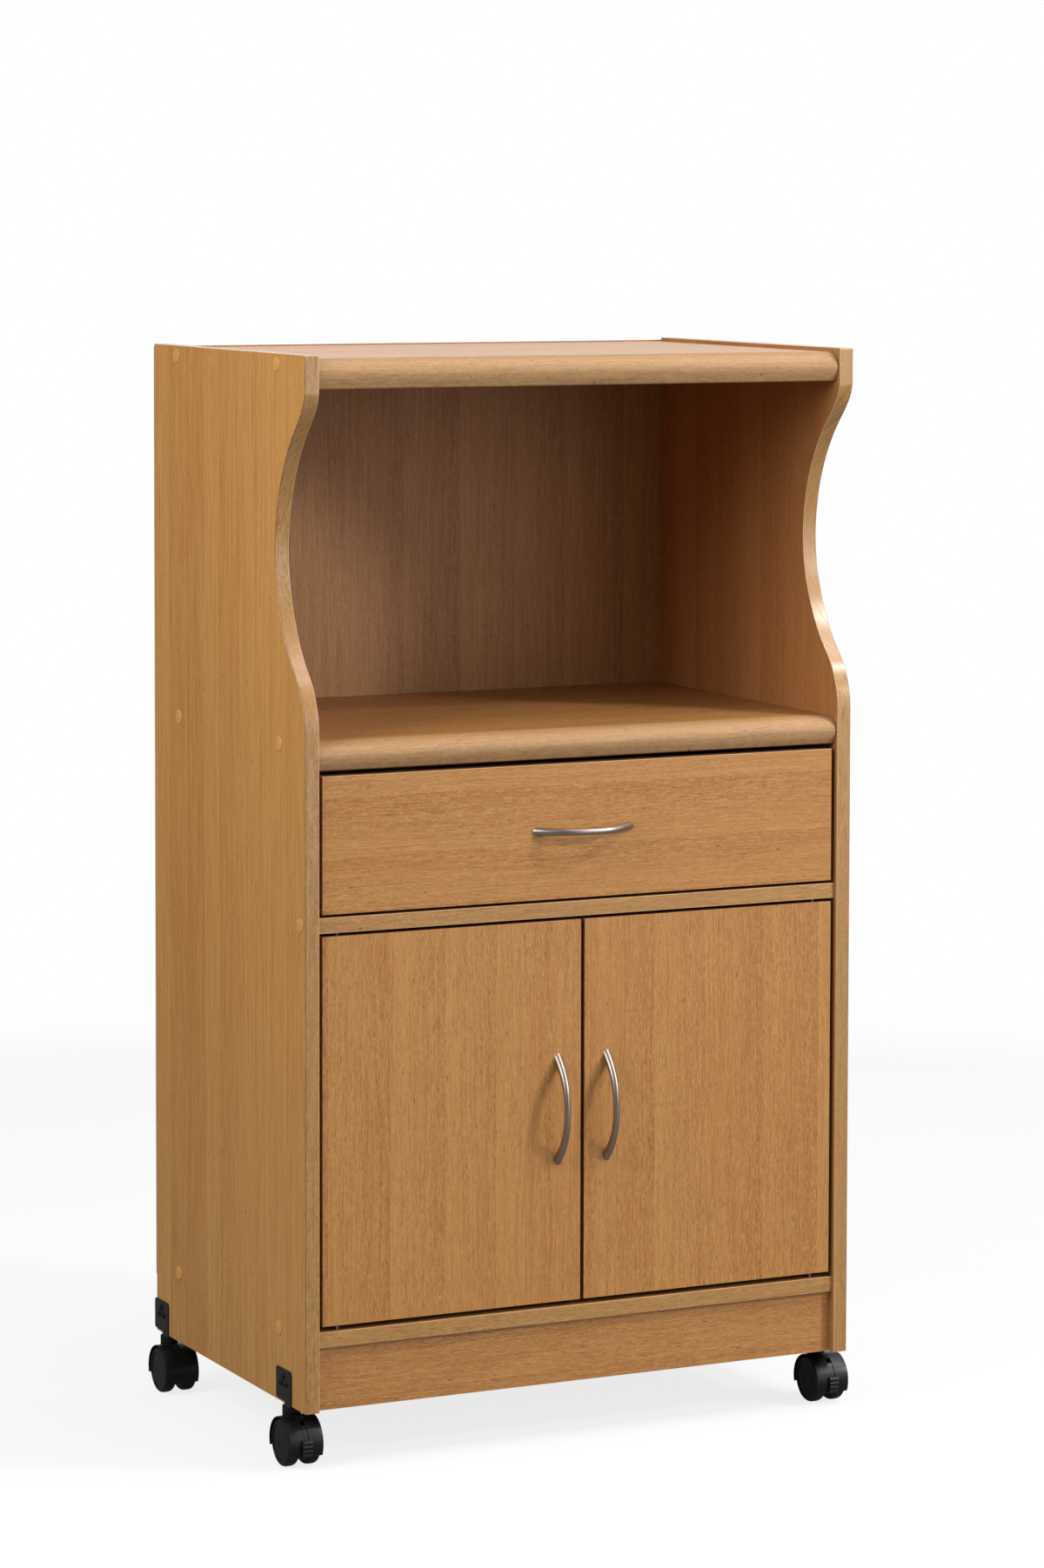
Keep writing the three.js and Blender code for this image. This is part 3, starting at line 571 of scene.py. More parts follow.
def lathe(axis, centre, side, profile, n=32):
    """profile: (radius, along) turned round an axis parallel to X, Y or Z through centre."""
    bm = bmesh.new()
    rings = []
    closed = profile[0] == profile[-1]
    pts = profile[:-1] if closed else profile
    c = Vector(centre)

    def at(r, a, k):
        t = 2 * math.pi * k / n
        p, q, s = r * math.cos(t), r * math.sin(t), a * side
        if axis == "x":
            return c + Vector((s, p, q))
        if axis == "y":
            return c + Vector((p, s, q))
        return c + Vector((p, q, s))

    for r, a in pts:
        if r < 1e-6:
            rings.append([bm.verts.new(at(0, a, 0))])
        else:
            rings.append([bm.verts.new(at(r, a, k)) for k in range(n)])
    last = len(rings) if closed else len(rings) - 1
    for i in range(last):
        a, b = rings[i], rings[(i + 1) % len(rings)]
        for k in range(n):
            k1 = (k + 1) % n
            if len(a) == 1 and len(b) == 1:
                continue
            if len(a) == 1:
                bm.faces.new((a[0], b[k], b[k1]))
            elif len(b) == 1:
                bm.faces.new((a[k], b[0], a[k1]))
            else:
                bm.faces.new((a[k], b[k], b[k1], a[k1]))
    bmesh.ops.recalc_face_normals(bm, faces=list(bm.faces))
    return bm


def arc_pts(cx, cy, r, a0, a1, n):
    return [
        (cx + r * math.cos(math.radians(a0 + (a1 - a0) * i / n)), cy + r * math.sin(math.radians(a0 + (a1 - a0) * i / n)))
        for i in range(n + 1)
    ]


def merged(*bms):
    """Several closed shells as one mesh."""
    out = bmesh.new()
    for b in bms:
        me = bpy.data.meshes.new("tmp")
        b.to_mesh(me)
        b.free()
        out.from_mesh(me)
        bpy.data.meshes.remove(me)
    return out


def moved(bm, matrix):
    out = bm.copy()
    for v in out.verts:
        v.co = matrix @ v.co
    if matrix.determinant() < 0:
        bmesh.ops.reverse_faces(out, faces=list(out.faces))
    return out


DUMMY = [bpy.data.materials.new(f"tmp_{i}") for i in range(4)]


def boolean(a, b, op):
    """a op b as solids, both given up. Materials keep their index."""
    objects = []
    for bm in (a, b):
        me = bpy.data.meshes.new("tmp")
        bm.to_mesh(me)
        bm.free()
        for m in DUMMY:
            me.materials.append(m)
        o = bpy.data.objects.new("tmp", me)
        scene.collection.objects.link(o)
        objects.append(o)
    mod = objects[0].modifiers.new("b", "BOOLEAN")
    mod.object = objects[1]
    mod.operation = op
    mod.solver = "EXACT"
    dg = bpy.context.evaluated_depsgraph_get()
    me = bpy.data.meshes.new_from_object(objects[0].evaluated_get(dg))
    out = bmesh.new()
    out.from_mesh(me)
    old = [o.data for o in objects]
    for o in objects:
        bpy.data.objects.remove(o)
    for m in old + [me]:
        bpy.data.meshes.remove(m)
    return out


def union(*bms):
    out = bms[0]
    for b in bms[1:]:
        out = boolean(out, b, "UNION")
    return out


def cut(a, *tools):
    for b in tools:
        a = boolean(a, b, "DIFFERENCE")
    return a


def by_normal(bm, axis, index, limit=0.9, rest=1, arris=None):
    """Faces that look along the axis get material index, the others `rest`, and the narrow ones
    that round an edge off get `arris`."""
    bm.normal_update()
    for f in bm.faces:
        f.material_index = index if abs(f.normal[axis]) > limit else rest
        if arris is not None and max(abs(c) for c in f.normal) < 0.985:
            f.material_index = arris


# ------------------------------------------------------------------------------------ side panels
SWEEP = [
    (676, 0), (686, 0.8), (696, 2.9), (706, 6.8), (717, 12.4), (727, 19.6), (737, 29.0),
    (748, 38.4), (760, 46.9), (773, 54.4), (788, 61.6), (805, 68.0), (822, 72.4), (840, 74.9),
    (856, 75.3), (872, 73.9), (888, 71.1), (904, 67.0), (920, 60.8), (935, 53.4), (948, 45.5),
    (960, 36.8), (970, 28.3), (979, 19.8), (988, 11.8), (996, 6.0), (1004, 2.0), (1011, 0),
]


def spline(points, step):
    """Catmull-Rom through the points, then even steps along it."""
    n = len(points)
    fine = []
    for i in range(n - 1):
        p = [Vector(points[max(0, min(n - 1, i + k))]) for k in (-1, 0, 1, 2)]
        for j in range(24):
            t = j / 24
            v0, v1 = (p[2] - p[0]) * 0.5, (p[3] - p[1]) * 0.5
            t2, t3 = t * t, t * t * t
            fine.append(
                (2 * p[1] - 2 * p[2] + v0 + v1) * t3
                + (-3 * p[1] + 3 * p[2] - 2 * v0 - v1) * t2
                + v0 * t
                + p[1]
            )
    fine.append(Vector(points[-1]))
    length = [0.0]
    for a, b in zip(fine, fine[1:]):
        length.append(length[-1] + (b - a).length)
    count = max(2, round(length[-1] / step))
    out, k = [], 0
    for i in range(count + 1):
        s = length[-1] * i / count
        while k < len(fine) - 2 and length[k + 1] < s:
            k += 1
        d = length[k + 1] - length[k]
        out.append(fine[k].lerp(fine[k + 1], 0 if d == 0 else (s - length[k]) / d))
    return out


edge_line = spline([(d, z) for z, d in SWEEP], 3.2)
side_outline = (
    [(D(0), Z(0.0))]
    + [(D(max(0.0, p[0])), Z(p[1])) for p in edge_line]
    + [(D(0), Z(1046.8)), (D(0.35), Z(1047.65)), (D(1.2), Z(1048)), (D(397), Z(1048)), (D(397), Z(0))]
)
for side, name in ((-1, "left"), (1, "right")):
    x0, x1 = (-X_OUT, -X_IN) if side < 0 else (X_IN, X_OUT)
    bm = prism("x", side_outline, x0, x1, r=0.7, seg=3)
    bm.normal_update()
    # the bevels on the inner side and along the top get M["arris"], a painted highlight; the outer bevel keeps the
    # band's colour
    for f in bm.faces:
        across = f.normal.x * side
        if across > 0.96:
            f.material_index = 0
        elif across < -0.96:
            f.material_index = 3
        elif across < -0.12 or (f.calc_center_median().z > Z(1046.9) and f.normal.z < 0.97):
            f.material_index = 4
        else:
            f.material_index = 1
    for d in (70, 340):
        for z in (222, 254, 286):
            hole = lathe("x", (side * (X_IN - 1), D(d), Z(z)), side, [(0, 0), (2.8, 0), (2.8, 10), (0, 10)], 24)
            for f in hole.faces:
                f.material_index = 2
            bm = cut(bm, hole)
    piece(f"{name}_side_board", bm, [M[f"side_{name}"], M[f"edge_side_{name}"], M["chip"], M["side_inner"], M["arris"]], "cabinet", f"{name}_side_panel", sharp=42)


# ------------------------------------------------------------------------------------ boards
def board(name, x0, x1, d0, d1, z0, z1, face, edge, face_axis, body="cabinet", node=None, r=0.5, holes=(), arris=None):
    bm = box(x0, x1, D(d0), D(d1), Z(z0), Z(z1), r)
    by_normal(bm, face_axis, 0, arris=3)
    for h in holes:
        for f in h.faces:
            f.material_index = 2
        bm = cut(bm, h)
    # by default the rounded edges get M["arris"], a painted highlight
    return piece(name, bm, [face, edge, M["chip"], arris or M["arris"]], body, node or ())


board("top_board", -X_IN, X_IN, 25, 397, 1028.4, 1044, M["top"], M["edge_flat"], 2, node="top_panel", r=0.25)
board("bay_shelf_board", -X_IN, X_IN, 25, 397, 651.4, 667, M["shelf"], M["edge_flat"], 2, node="microwave_shelf", r=0.25)
SIDE_GAP = 4.5
pivot_x, pivot_d = X_IN - SIDE_GAP - 18.5, 3.5 + BOARD / 2


def pin_hole(s, z0, z1):
    return lathe("z", (s * pivot_x, D(pivot_d), Z(z0)), 1, [(0, 0), (2.3, 0), (2.3, z1 - z0), (0, z1 - z0)], 20)


board("divider_rail_board", -X_IN, X_IN, 3.5, 50, 477.7, 493.3, M["inner"], M["edge_flat"], 2, node="divider_rail", r=0.5,
      holes=[pin_hole(s, 476.7, 486.7) for s in (-1, 1)])
board("bottom_board", -X_IN, X_IN, 3.5, 397, 64, 79.6, M["floor_board"], M["edge_flat"], 2, node="bottom_panel", r=0.5,
      holes=[pin_hole(s, 70.6, 80.6) for s in (-1, 1)])
board("toe_kick_board", -X_IN, X_IN, 9, 24.6, 0, 64, M["kick"], M["edge_flat"], 1, node="toe_kick", r=0.4)
board("cupboard_shelf_board", -X_IN + 1.5, X_IN - 1.5, 45, 395, 256.55, 272.15, M["inner"], M["edge_flat"], 2, node="inner_shelf", r=0.5)

# the thin back: printed inside, bare and nailed outside
bm = box(-306.9, 306.9, D(397), D(400), Z(60), Z(1045.5), 0.25, 1)
bm.normal_update()
for f in bm.faces:
    f.material_index = 0 if f.normal.y < -0.9 else (1 if f.normal.y > 0.9 else 2)
piece("back_board", bm, [M["back_print"], M["hardboard"], M["hardboard_edge"]], "cabinet", "back_panel")


# ------------------------------------------------------------------------------------ nosings
NOSE = [
    (25, 0), (22, 0.05), (18, 0.4), (14, 1.2), (10.5, 2.5), (7.5, 4.4), (5, 6.8), (3.2, 9.6),
    (2.2, 12.4), (1.9, 15.2), (2.3, 18.2), (3.2, 21.2), (4.6, 24.2), (6.2, 26.8),
]
for name, top, height, node in (("top_nosing_rail", 1044, 30.0, "top_nosing"), ("shelf_nosing_rail", 667, 28.8, "shelf_nosing")):
    curve = spline(NOSE, 1.1)
    # the foil turns under at the lower lip
    tail = [(6.9, 28.3), (7.9, 29.4), (9.3, 30.0)]
    outline = [(D(p[0]), Z(top - p[1] * height / 30)) for p in curve + [Vector(t) for t in tail]]
    outline.append((D(25), Z(top - height)))
    bm = prism("x", outline, -X_IN + 0.25, X_IN - 0.25, r=0.8, seg=3)
    piece(name, bm, [M["nosing"]], "cabinet", node, sharp=50)


# ------------------------------------------------------------------------------------ screws and caps
def pan_head(r=3.5, h=1.7, n=24):
    """A pan head with a cross recess, axis +Z, seat at z = 0."""
    dome = [(0, -0.6), (r * 0.55, -0.6), (r * 0.55, 0), (r * 0.96, 0), (r, 0.22 * h)]
    for i in range(1, 7):
        t = i / 6 * math.pi / 2
        dome.append((r * (0.30 + 0.70 * math.cos(t)), h * (0.22 + 0.78 * math.sin(t))))
    dome[-1] = (r * 0.30, h)
    dome.append((0, h))
    bm = lathe("z", (0, 0, 0), 1, dome, n)
    w, l = r * 0.17, r * 0.58
    for a, b in ((l, w), (w, l)):
        tool = bmesh.new()
        bmesh.ops.create_cube(tool, size=1.0)
        for v in tool.verts:
            taper = 0.72 if v.co.z < 0 else 1.0
            v.co = Vector((v.co.x * 2 * a * taper, v.co.y * 2 * b * taper, h * 0.35 + (v.co.z + 0.5) * h))
        bm = cut(bm, tool)
    return bm


PAN = pan_head()


def placed(bm, at, towards, turn=0.0, scale=1.0):
    """A copy of a fastener modelled on +Z, its seat at `at`, pointing `towards`."""
    q = Vector((0, 0, 1)).rotation_difference(Vector(towards)).to_matrix().to_4x4()
    m = Matrix.Translation(Vector(at)) @ q @ Matrix.Rotation(turn, 4, "Z") @ Matrix.Diagonal((scale, scale, scale, 1))
    return moved(bm, m)


# push-in caps over the assembly screws, on both side panels
CAP_AT = [(335, 1037.5), (70, 1037.5), (330, 661.5), (65, 661), (13, 486), (334, 73.5), (67, 73)]
CAP = lathe(
    "z", (0, 0, 0), 1,
    [(0, -0.4), (6.9, -0.4), (7.4, -0.1), (7.5, 0.25), (7.3, 0.6), (6.7, 0.85), (5.2, 1.0), (2.6, 1.08), (0, 1.1)], 40,
)
for side, name in ((-1, "left"), (1, "right")):
    bms = [placed(CAP, (side * X_OUT, D(d), Z(z)), (side, 0, 0)) for d, z in CAP_AT]
    piece(f"screw_caps_{name}", merged(*bms), [M["cap"]], "cabinet", ())

# nails round the back panel
NAIL = lathe("z", (0, 0, 0), 1, [(0, -0.5), (1.5, -0.5), (1.6, 0.1), (1.35, 0.4), (0.7, 0.55), (0, 0.58)], 14)
nails = []
for i in range(9):
    z = 75 + i * (1036 - 75) / 8
    for s in (-1, 1):
        nails.append(placed(NAIL, (s * 299.7, D(400), Z(z)), (0, 1, 0)))
for z in (71.8, 659.2, 1036.2):
    for i in range(1, 6):
        nails.append(placed(NAIL, (-299.7 + i * 599.4 / 6, D(400), Z(z)), (0, 1, 0)))
piece("back_nails", merged(*nails), [M["screw"]], "cabinet", ())


# ------------------------------------------------------------------------------------ shelf pegs
for side, sn in ((-1, "left"), (1, "right")):
    for d, dn in ((70, "front"), (340, "rear")):
        profile = [(0, -8), (2.2, -8), (2.5, -7.6), (2.5, 0.02), (3.6, 0.04), (3.8, 0.25), (3.8, 0.95), (3.6, 1.15), (2.5, 1.2),
                   (2.5, 9.3), (2.3, 9.8), (1.9, 10), (0, 10)]
        bm = lathe("x", (side * X_IN, D(d), Z(254)), -side, profile, 28)
        piece(f"shelf_support_{sn}_{dn}", bm, [M["zinc"]], "cabinet", f"shelf_peg_{sn}_{dn}")


# ------------------------------------------------------------------------------------ bow handles
HALF, OUT, BAR = 50.7, 25.0, 3.3


def bow_handle():
    """Along X, standing out along +Z: a round bar on a flat arch, thicker towards the feet, cut off
    flush with the face it stands on."""
    bm = bmesh.new()
    steps, sides, reach = 84, 30, 1.12
    rise = OUT - BAR
    rings = []
    for i in range(steps + 1):
        p = reach * (2 * i / steps - 1)
        t = abs(p)
        height = rise * (1 - t**2.38)
        slope = -rise * 2.38 * math.copysign(t**1.38, p) / HALF
        nx, nz = -slope / math.hypot(slope, 1), 1 / math.hypot(slope, 1)
        r = BAR + 1.15 * t**2.5
        rings.append(
            [
                bm.verts.new(
                    (
                        p * HALF + nx * math.sin(2 * math.pi * k / sides) * r,
                        math.cos(2 * math.pi * k / sides) * r,
                        height + nz * math.sin(2 * math.pi * k / sides) * r,
                    )
                )
                for k in range(sides)
            ]
        )
    for a, b in zip(rings, rings[1:]):
        for k in range(sides):
            k1 = (k + 1) % sides
            bm.faces.new((a[k], a[k1], b[k1], b[k]))
    bm.faces.new(rings[0])
    bm.faces.new(rings[-1])
    bmesh.ops.recalc_face_normals(bm, faces=list(bm.faces))
    return cut(bm, box(-80, 80, -12, 12, -40, 0, 0))


HANDLE = bow_handle()
face_y = D(3.5)
ALONG_X = Matrix(((1, 0, 0, 0), (0, 0, -1, face_y), (0, 1, 0, 0), (0, 0, 0, 1)))
ALONG_Z = Matrix(((0, -1, 0, 0), (0, 0, -1, face_y), (1, 0, 0, 0), (0, 0, 0, 1)))
piece("drawer_bow_handle", moved(HANDLE, Matrix.Translation((0, 0, Z(566))) @ ALONG_X), [M["nickel"]], "drawer", "drawer_handle", sharp=60)
for side, name in ((-1, "left"), (1, "right")):
    m = Matrix.Translation((side * 27.7, 0, Z(282))) @ ALONG_Z
    piece(f"door_bow_handle_{name}", moved(HANDLE, m), [M["nickel"]], f"door_{name}", f"door_handle_{name}", sharp=60)


# ------------------------------------------------------------------------------------ doors
for side, name in ((-1, "left"), (1, "right")):
    a, b = side * 2, side * (X_IN - SIDE_GAP)
    board(f"door_board_{name}", min(a, b), max(a, b), 3.5, 19.1, 85, 474.4, M[f"door_{name}"], M["edge_door"], 1,
          body=f"door_{name}", node=f"door_{name}", r=0.45, arris=M[f"door_{name}"],
          holes=[pin_hole(side, 461.4, 475.4), pin_hole(side, 84, 98)])
    # steel strike plate for the catch, and the heads of the handle's two screws
    plate = box(side * 3.5, side * 26.5, D(19.1), D(19.9), Z(463.4), Z(473.0), 0.3)
    piece(f"strike_plate_{name}", plate, [M["zinc"]], f"door_{name}", ())
    heads = [placed(PAN, (side * 27.7, D(19.1), Z(282 + s * 48)), (0, 1, 0), 0.5 + s, 1.15) for s in (-1, 1)]
    heads.append(placed(PAN, (side * 22.6, D(19.9), Z(468.2)), (0, 1, 0), 0.2, 0.8))
    piece(f"door_screws_{name}", merged(*heads), [M["screw"]], f"door_{name}", ())
    for end, lo, hi in (("upper", Z(462.4), Z(485.7)), ("lower", Z(71.6), Z(97))):
        profile = [(0, lo), (1.7, lo), (2.0, lo + 0.3), (2.0, hi - 0.3), (1.7, hi), (0, hi)]
        bm = lathe("z", (side * pivot_x, D(pivot_d), 0), 1, profile, 28)
        piece(f"door_pivot_{name}_{end}", bm, [M["pin"]], "cabinet", f"door_pivot_pin_{name}_{end}")

# catch: a housing with two magnet noses standing out at its front
parts = [box(-22, 22, D(23), D(38), Z(464.7), Z(477.7), 1.0, 3)]
for s in (-1, 1):
    parts.append(box(s * 5, s * 17, D(20.3), D(24), Z(467.2), Z(474.7), 0.35))
piece("magnet_catch_housing", union(*parts), [M["black"]], "cabinet", "magnetic_catch")
heads = [placed(PAN, (s * 19.0, D(30.5), Z(464.7)), (0, 0, -1), 0.4 * s, 0.7) for s in (-1, 1)]
piece("magnet_catch_screws", merged(*heads), [M["screw"]], "cabinet", ())


# ------------------------------------------------------------------------------------ drawer
front_x, drawer_d = X_IN - SIDE_GAP, 3.5 + BOARD
box_x = X_IN - 13
wall_x = box_x - 12
bm = box(-front_x, front_x, D(3.5), D(drawer_d), Z(496.3), Z(633.5), 0.5)
by_normal(bm, 1, 0, arris=0)
# the bevels along the top take M["arris"], a painted highlight; the others keep the front's print
for f in bm.faces:
    if f.material_index == 0 and f.normal.z > 0.2:
        f.material_index = 3
groove = box(-wall_x - 4.3, wall_x + 4.3, D(drawer_d - 5), D(drawer_d + 1), Z(513.7), Z(517.3), 0)
for f in groove.faces:
    f.material_index = 2
piece("drawer_front_board", cut(bm, groove), [M["drawer_front"], M["edge_drawer"], M["chip"], M["arris"]], "drawer", "drawer_front")
for side, name in ((-1, "left"), (1, "right")):
    outline = [
        (box_x, 508), (box_x, 608), (wall_x, 608), (wall_x, 517.3), (wall_x + 4.3, 517.3), (wall_x + 4.3, 513.7),
        (wall_x, 513.7), (wall_x, 508),
    ]
    bm = prism("y", [(side * x, Z(z)) for x, z in outline], D(drawer_d), D(drawer_d + 350))
    long_edges = [
        e for e in bm.edges
        if abs(e.verts[0].co.y - e.verts[1].co.y) > 100 and abs(e.verts[0].co.z - Z(608)) < 0.1
    ]
    round_edges(bm, long_edges, 1.6, 4)
    piece(f"drawer_wall_{name}", bm, [M["drawer_wrap"]], "drawer", f"drawer_side_{name}")
bm = box(-wall_x, wall_x, D(drawer_d + 338), D(drawer_d + 350), Z(517.3), Z(604), 0)
round_edges(bm, [e for e in bm.edges if all(abs(v.co.z - Z(604)) < 0.1 for v in e.verts) and abs(e.verts[0].co.x - e.verts[1].co.x) > 100], 1.6, 4)
piece("drawer_back_wall", bm, [M["drawer_wrap_x"]], "drawer", "drawer_back")
bm = box(-wall_x - 4, wall_x + 4, D(drawer_d - 4.7), D(drawer_d + 349.7), Z(514.0), Z(517.0), 0.15, 1)
bm.normal_update()
for f in bm.faces:
    f.material_index = 0 if f.normal.z > 0.9 else (1 if f.normal.z < -0.9 else 2)
piece("drawer_floor", bm, [M["drawer_floor"], M["hardboard"], M["hardboard_edge"]], "drawer", "drawer_bottom")
heads = [placed(PAN, (s * 48, D(drawer_d), Z(566)), (0, 1, 0), 0.4 + s, 1.15) for s in (-1, 1)]
piece("drawer_handle_screws", merged(*heads), [M["screw"]], "drawer", ())


# ------------------------------------------------------------------------------------ runners
RT = 1.2
run_z = 501
rail_d0 = drawer_d + 2.9
slide_d0 = drawer_d + 0.9
flange_z = run_z + 19
roller_x = X_IN - 4
for side, name in ((-1, "left"), (1, "right")):
    fixed = [
        (X_IN, run_z), (X_IN, run_z + 24), (X_IN - 10.5, run_z + 24), (X_IN - 10.5, run_z + 24 - RT),
        (X_IN - RT, run_z + 24 - RT), (X_IN - RT, run_z + RT), (X_IN - 10.5, run_z + RT), (X_IN - 10.5, run_z),
    ]
    bm = prism("y", [(side * x, Z(z)) for x, z in fixed], D(rail_d0), D(rail_d0 + 350), corners=0.5)
    pin = lathe("x", (side * (roller_x - 6.5), D(rail_d0 + 12), Z(run_z + 10.2)), side,
                [(0, -0.9), (1.6, -0.9), (2.4, -0.5), (2.4, 0.2), (2.0, 0.4), (2.0, 9.9), (0, 9.9)], 24)
    piece(f"runner_channel_{name}", merged(bm, pin), [M["white_steel"]], "cabinet", f"cabinet_runner_{name}")
    heads = [placed(PAN, (side * (X_IN - RT), D(d), Z(run_z + 12.2)), (-side, 0, 0), d * 0.1, 0.85) for d in (70, 196, 330)]
    piece(f"runner_screws_{name}", merged(*heads), [M["screw"]], "cabinet", ())
    moving = [
        (box_x - 14, 508 - RT), (box_x - 14, 508), (box_x, 508), (box_x, flange_z + RT), (X_IN - 3, flange_z + RT),
        (X_IN - 3, flange_z), (box_x + RT, flange_z), (box_x + RT, 508 - RT),
    ]
    bm = prism("y", [(side * x, Z(z)) for x, z in moving], D(slide_d0), D(slide_d0 + 350), corners=0.5)
    pin = lathe("x", (side * (box_x + 0.6), D(slide_d0 + 338), Z(run_z + RT + 8.6)), side,
                [(0, 0), (2.0, 0), (2.0, roller_x - box_x - 0.5), (2.4, roller_x - box_x - 0.3), (2.4, roller_x - box_x + 0.3), (1.6, roller_x - box_x + 0.6), (0, roller_x - box_x + 0.6)], 24)
    piece(f"runner_slide_{name}", merged(bm, pin), [M["white_steel"]], "drawer", f"drawer_runner_{name}")
    wheel = [(2.3, 0.3), (3.6, 0.3), (3.9, 0.0), (7.5, 0.0), (8.1, 0.2), (8.5, 0.8), (8.5, 5.4), (8.2, 6.0), (7.3, 6.0), (6.9, 5.4),
             (4.4, 5.4), (4.0, 6.0), (2.3, 6.0), (2.3, 0.3)]
    for end, d, z, body in (
        ("front", rail_d0 + 12, run_z + 10.2, f"runner_roller_front_{name}"),
        ("rear", slide_d0 + 338, run_z + RT + 8.6, f"runner_roller_rear_{name}"),
    ):
        bm = lathe("x", (side * roller_x, D(d), Z(z)), -side, wheel, 40)
        piece(f"roller_{end}_{name}", bm, [M["nylon"]], body, f"runner_roller_{end}_{name}")


# ------------------------------------------------------------------------------------ casters
WHEEL_R, TRAIL = 24.0, 12.0


def polar(cy, cz, r, a):
    """0 degrees is the front, 90 the top."""
    return (cy - r * math.cos(math.radians(a)), cz + r * math.sin(math.radians(a)))


def ring_sweep(sections, angles, cx, cy, cz):
    """sections: for each angle a closed loop of (x, r). Ends are capped."""
    bm = bmesh.new()
    rings = []
    for loop, a in zip(sections, angles):
        rings.append([bm.verts.new((cx + x, *polar(cy, cz, r, a))) for x, r in loop])
    n = len(rings[0])
    for p, q in zip(rings, rings[1:]):
        for k in range(n):
            bm.faces.new((p[k], p[(k + 1) % n], q[(k + 1) % n], q[k]))
    bm.faces.new(rings[0])
    bm.faces.new(rings[-1])
    bmesh.ops.recalc_face_normals(bm, faces=list(bm.faces))
    return bm


def shell_section(half, r_in, r_out, crown, band=0.0):
    loop = [(-half, r_in + 0.35), (-half, r_out - crown - 0.5), (-half + 0.2, r_out - crown - 0.15), (-half + 0.55, r_out - crown)]
    n = 16
    for i in range(1, n):
        x = -half + 0.55 + (2 * half - 1.1) * i / n
        lift = band if abs(x) < 4.4 else 0.0
        loop.append((x, r_out - crown * abs(x / half) ** 4 + lift))
    loop += [(-x, r) for x, r in reversed(loop[:4])]
    loop += [(half - 0.25, r_in), (-half + 0.25, r_in)]
    return loop


def sector(cx, hx, cy, cz, r0, r1, a0, a1, n, r=0.0):
    pts = [polar(cy, cz, r0, a0 + (a1 - a0) * i / n) for i in range(n + 1)]
    pts += [polar(cy, cz, r1, a1 + (a0 - a1) * i / n) for i in range(n + 1)]
    return prism("x", pts, cx - hx, cx + hx, r=r)


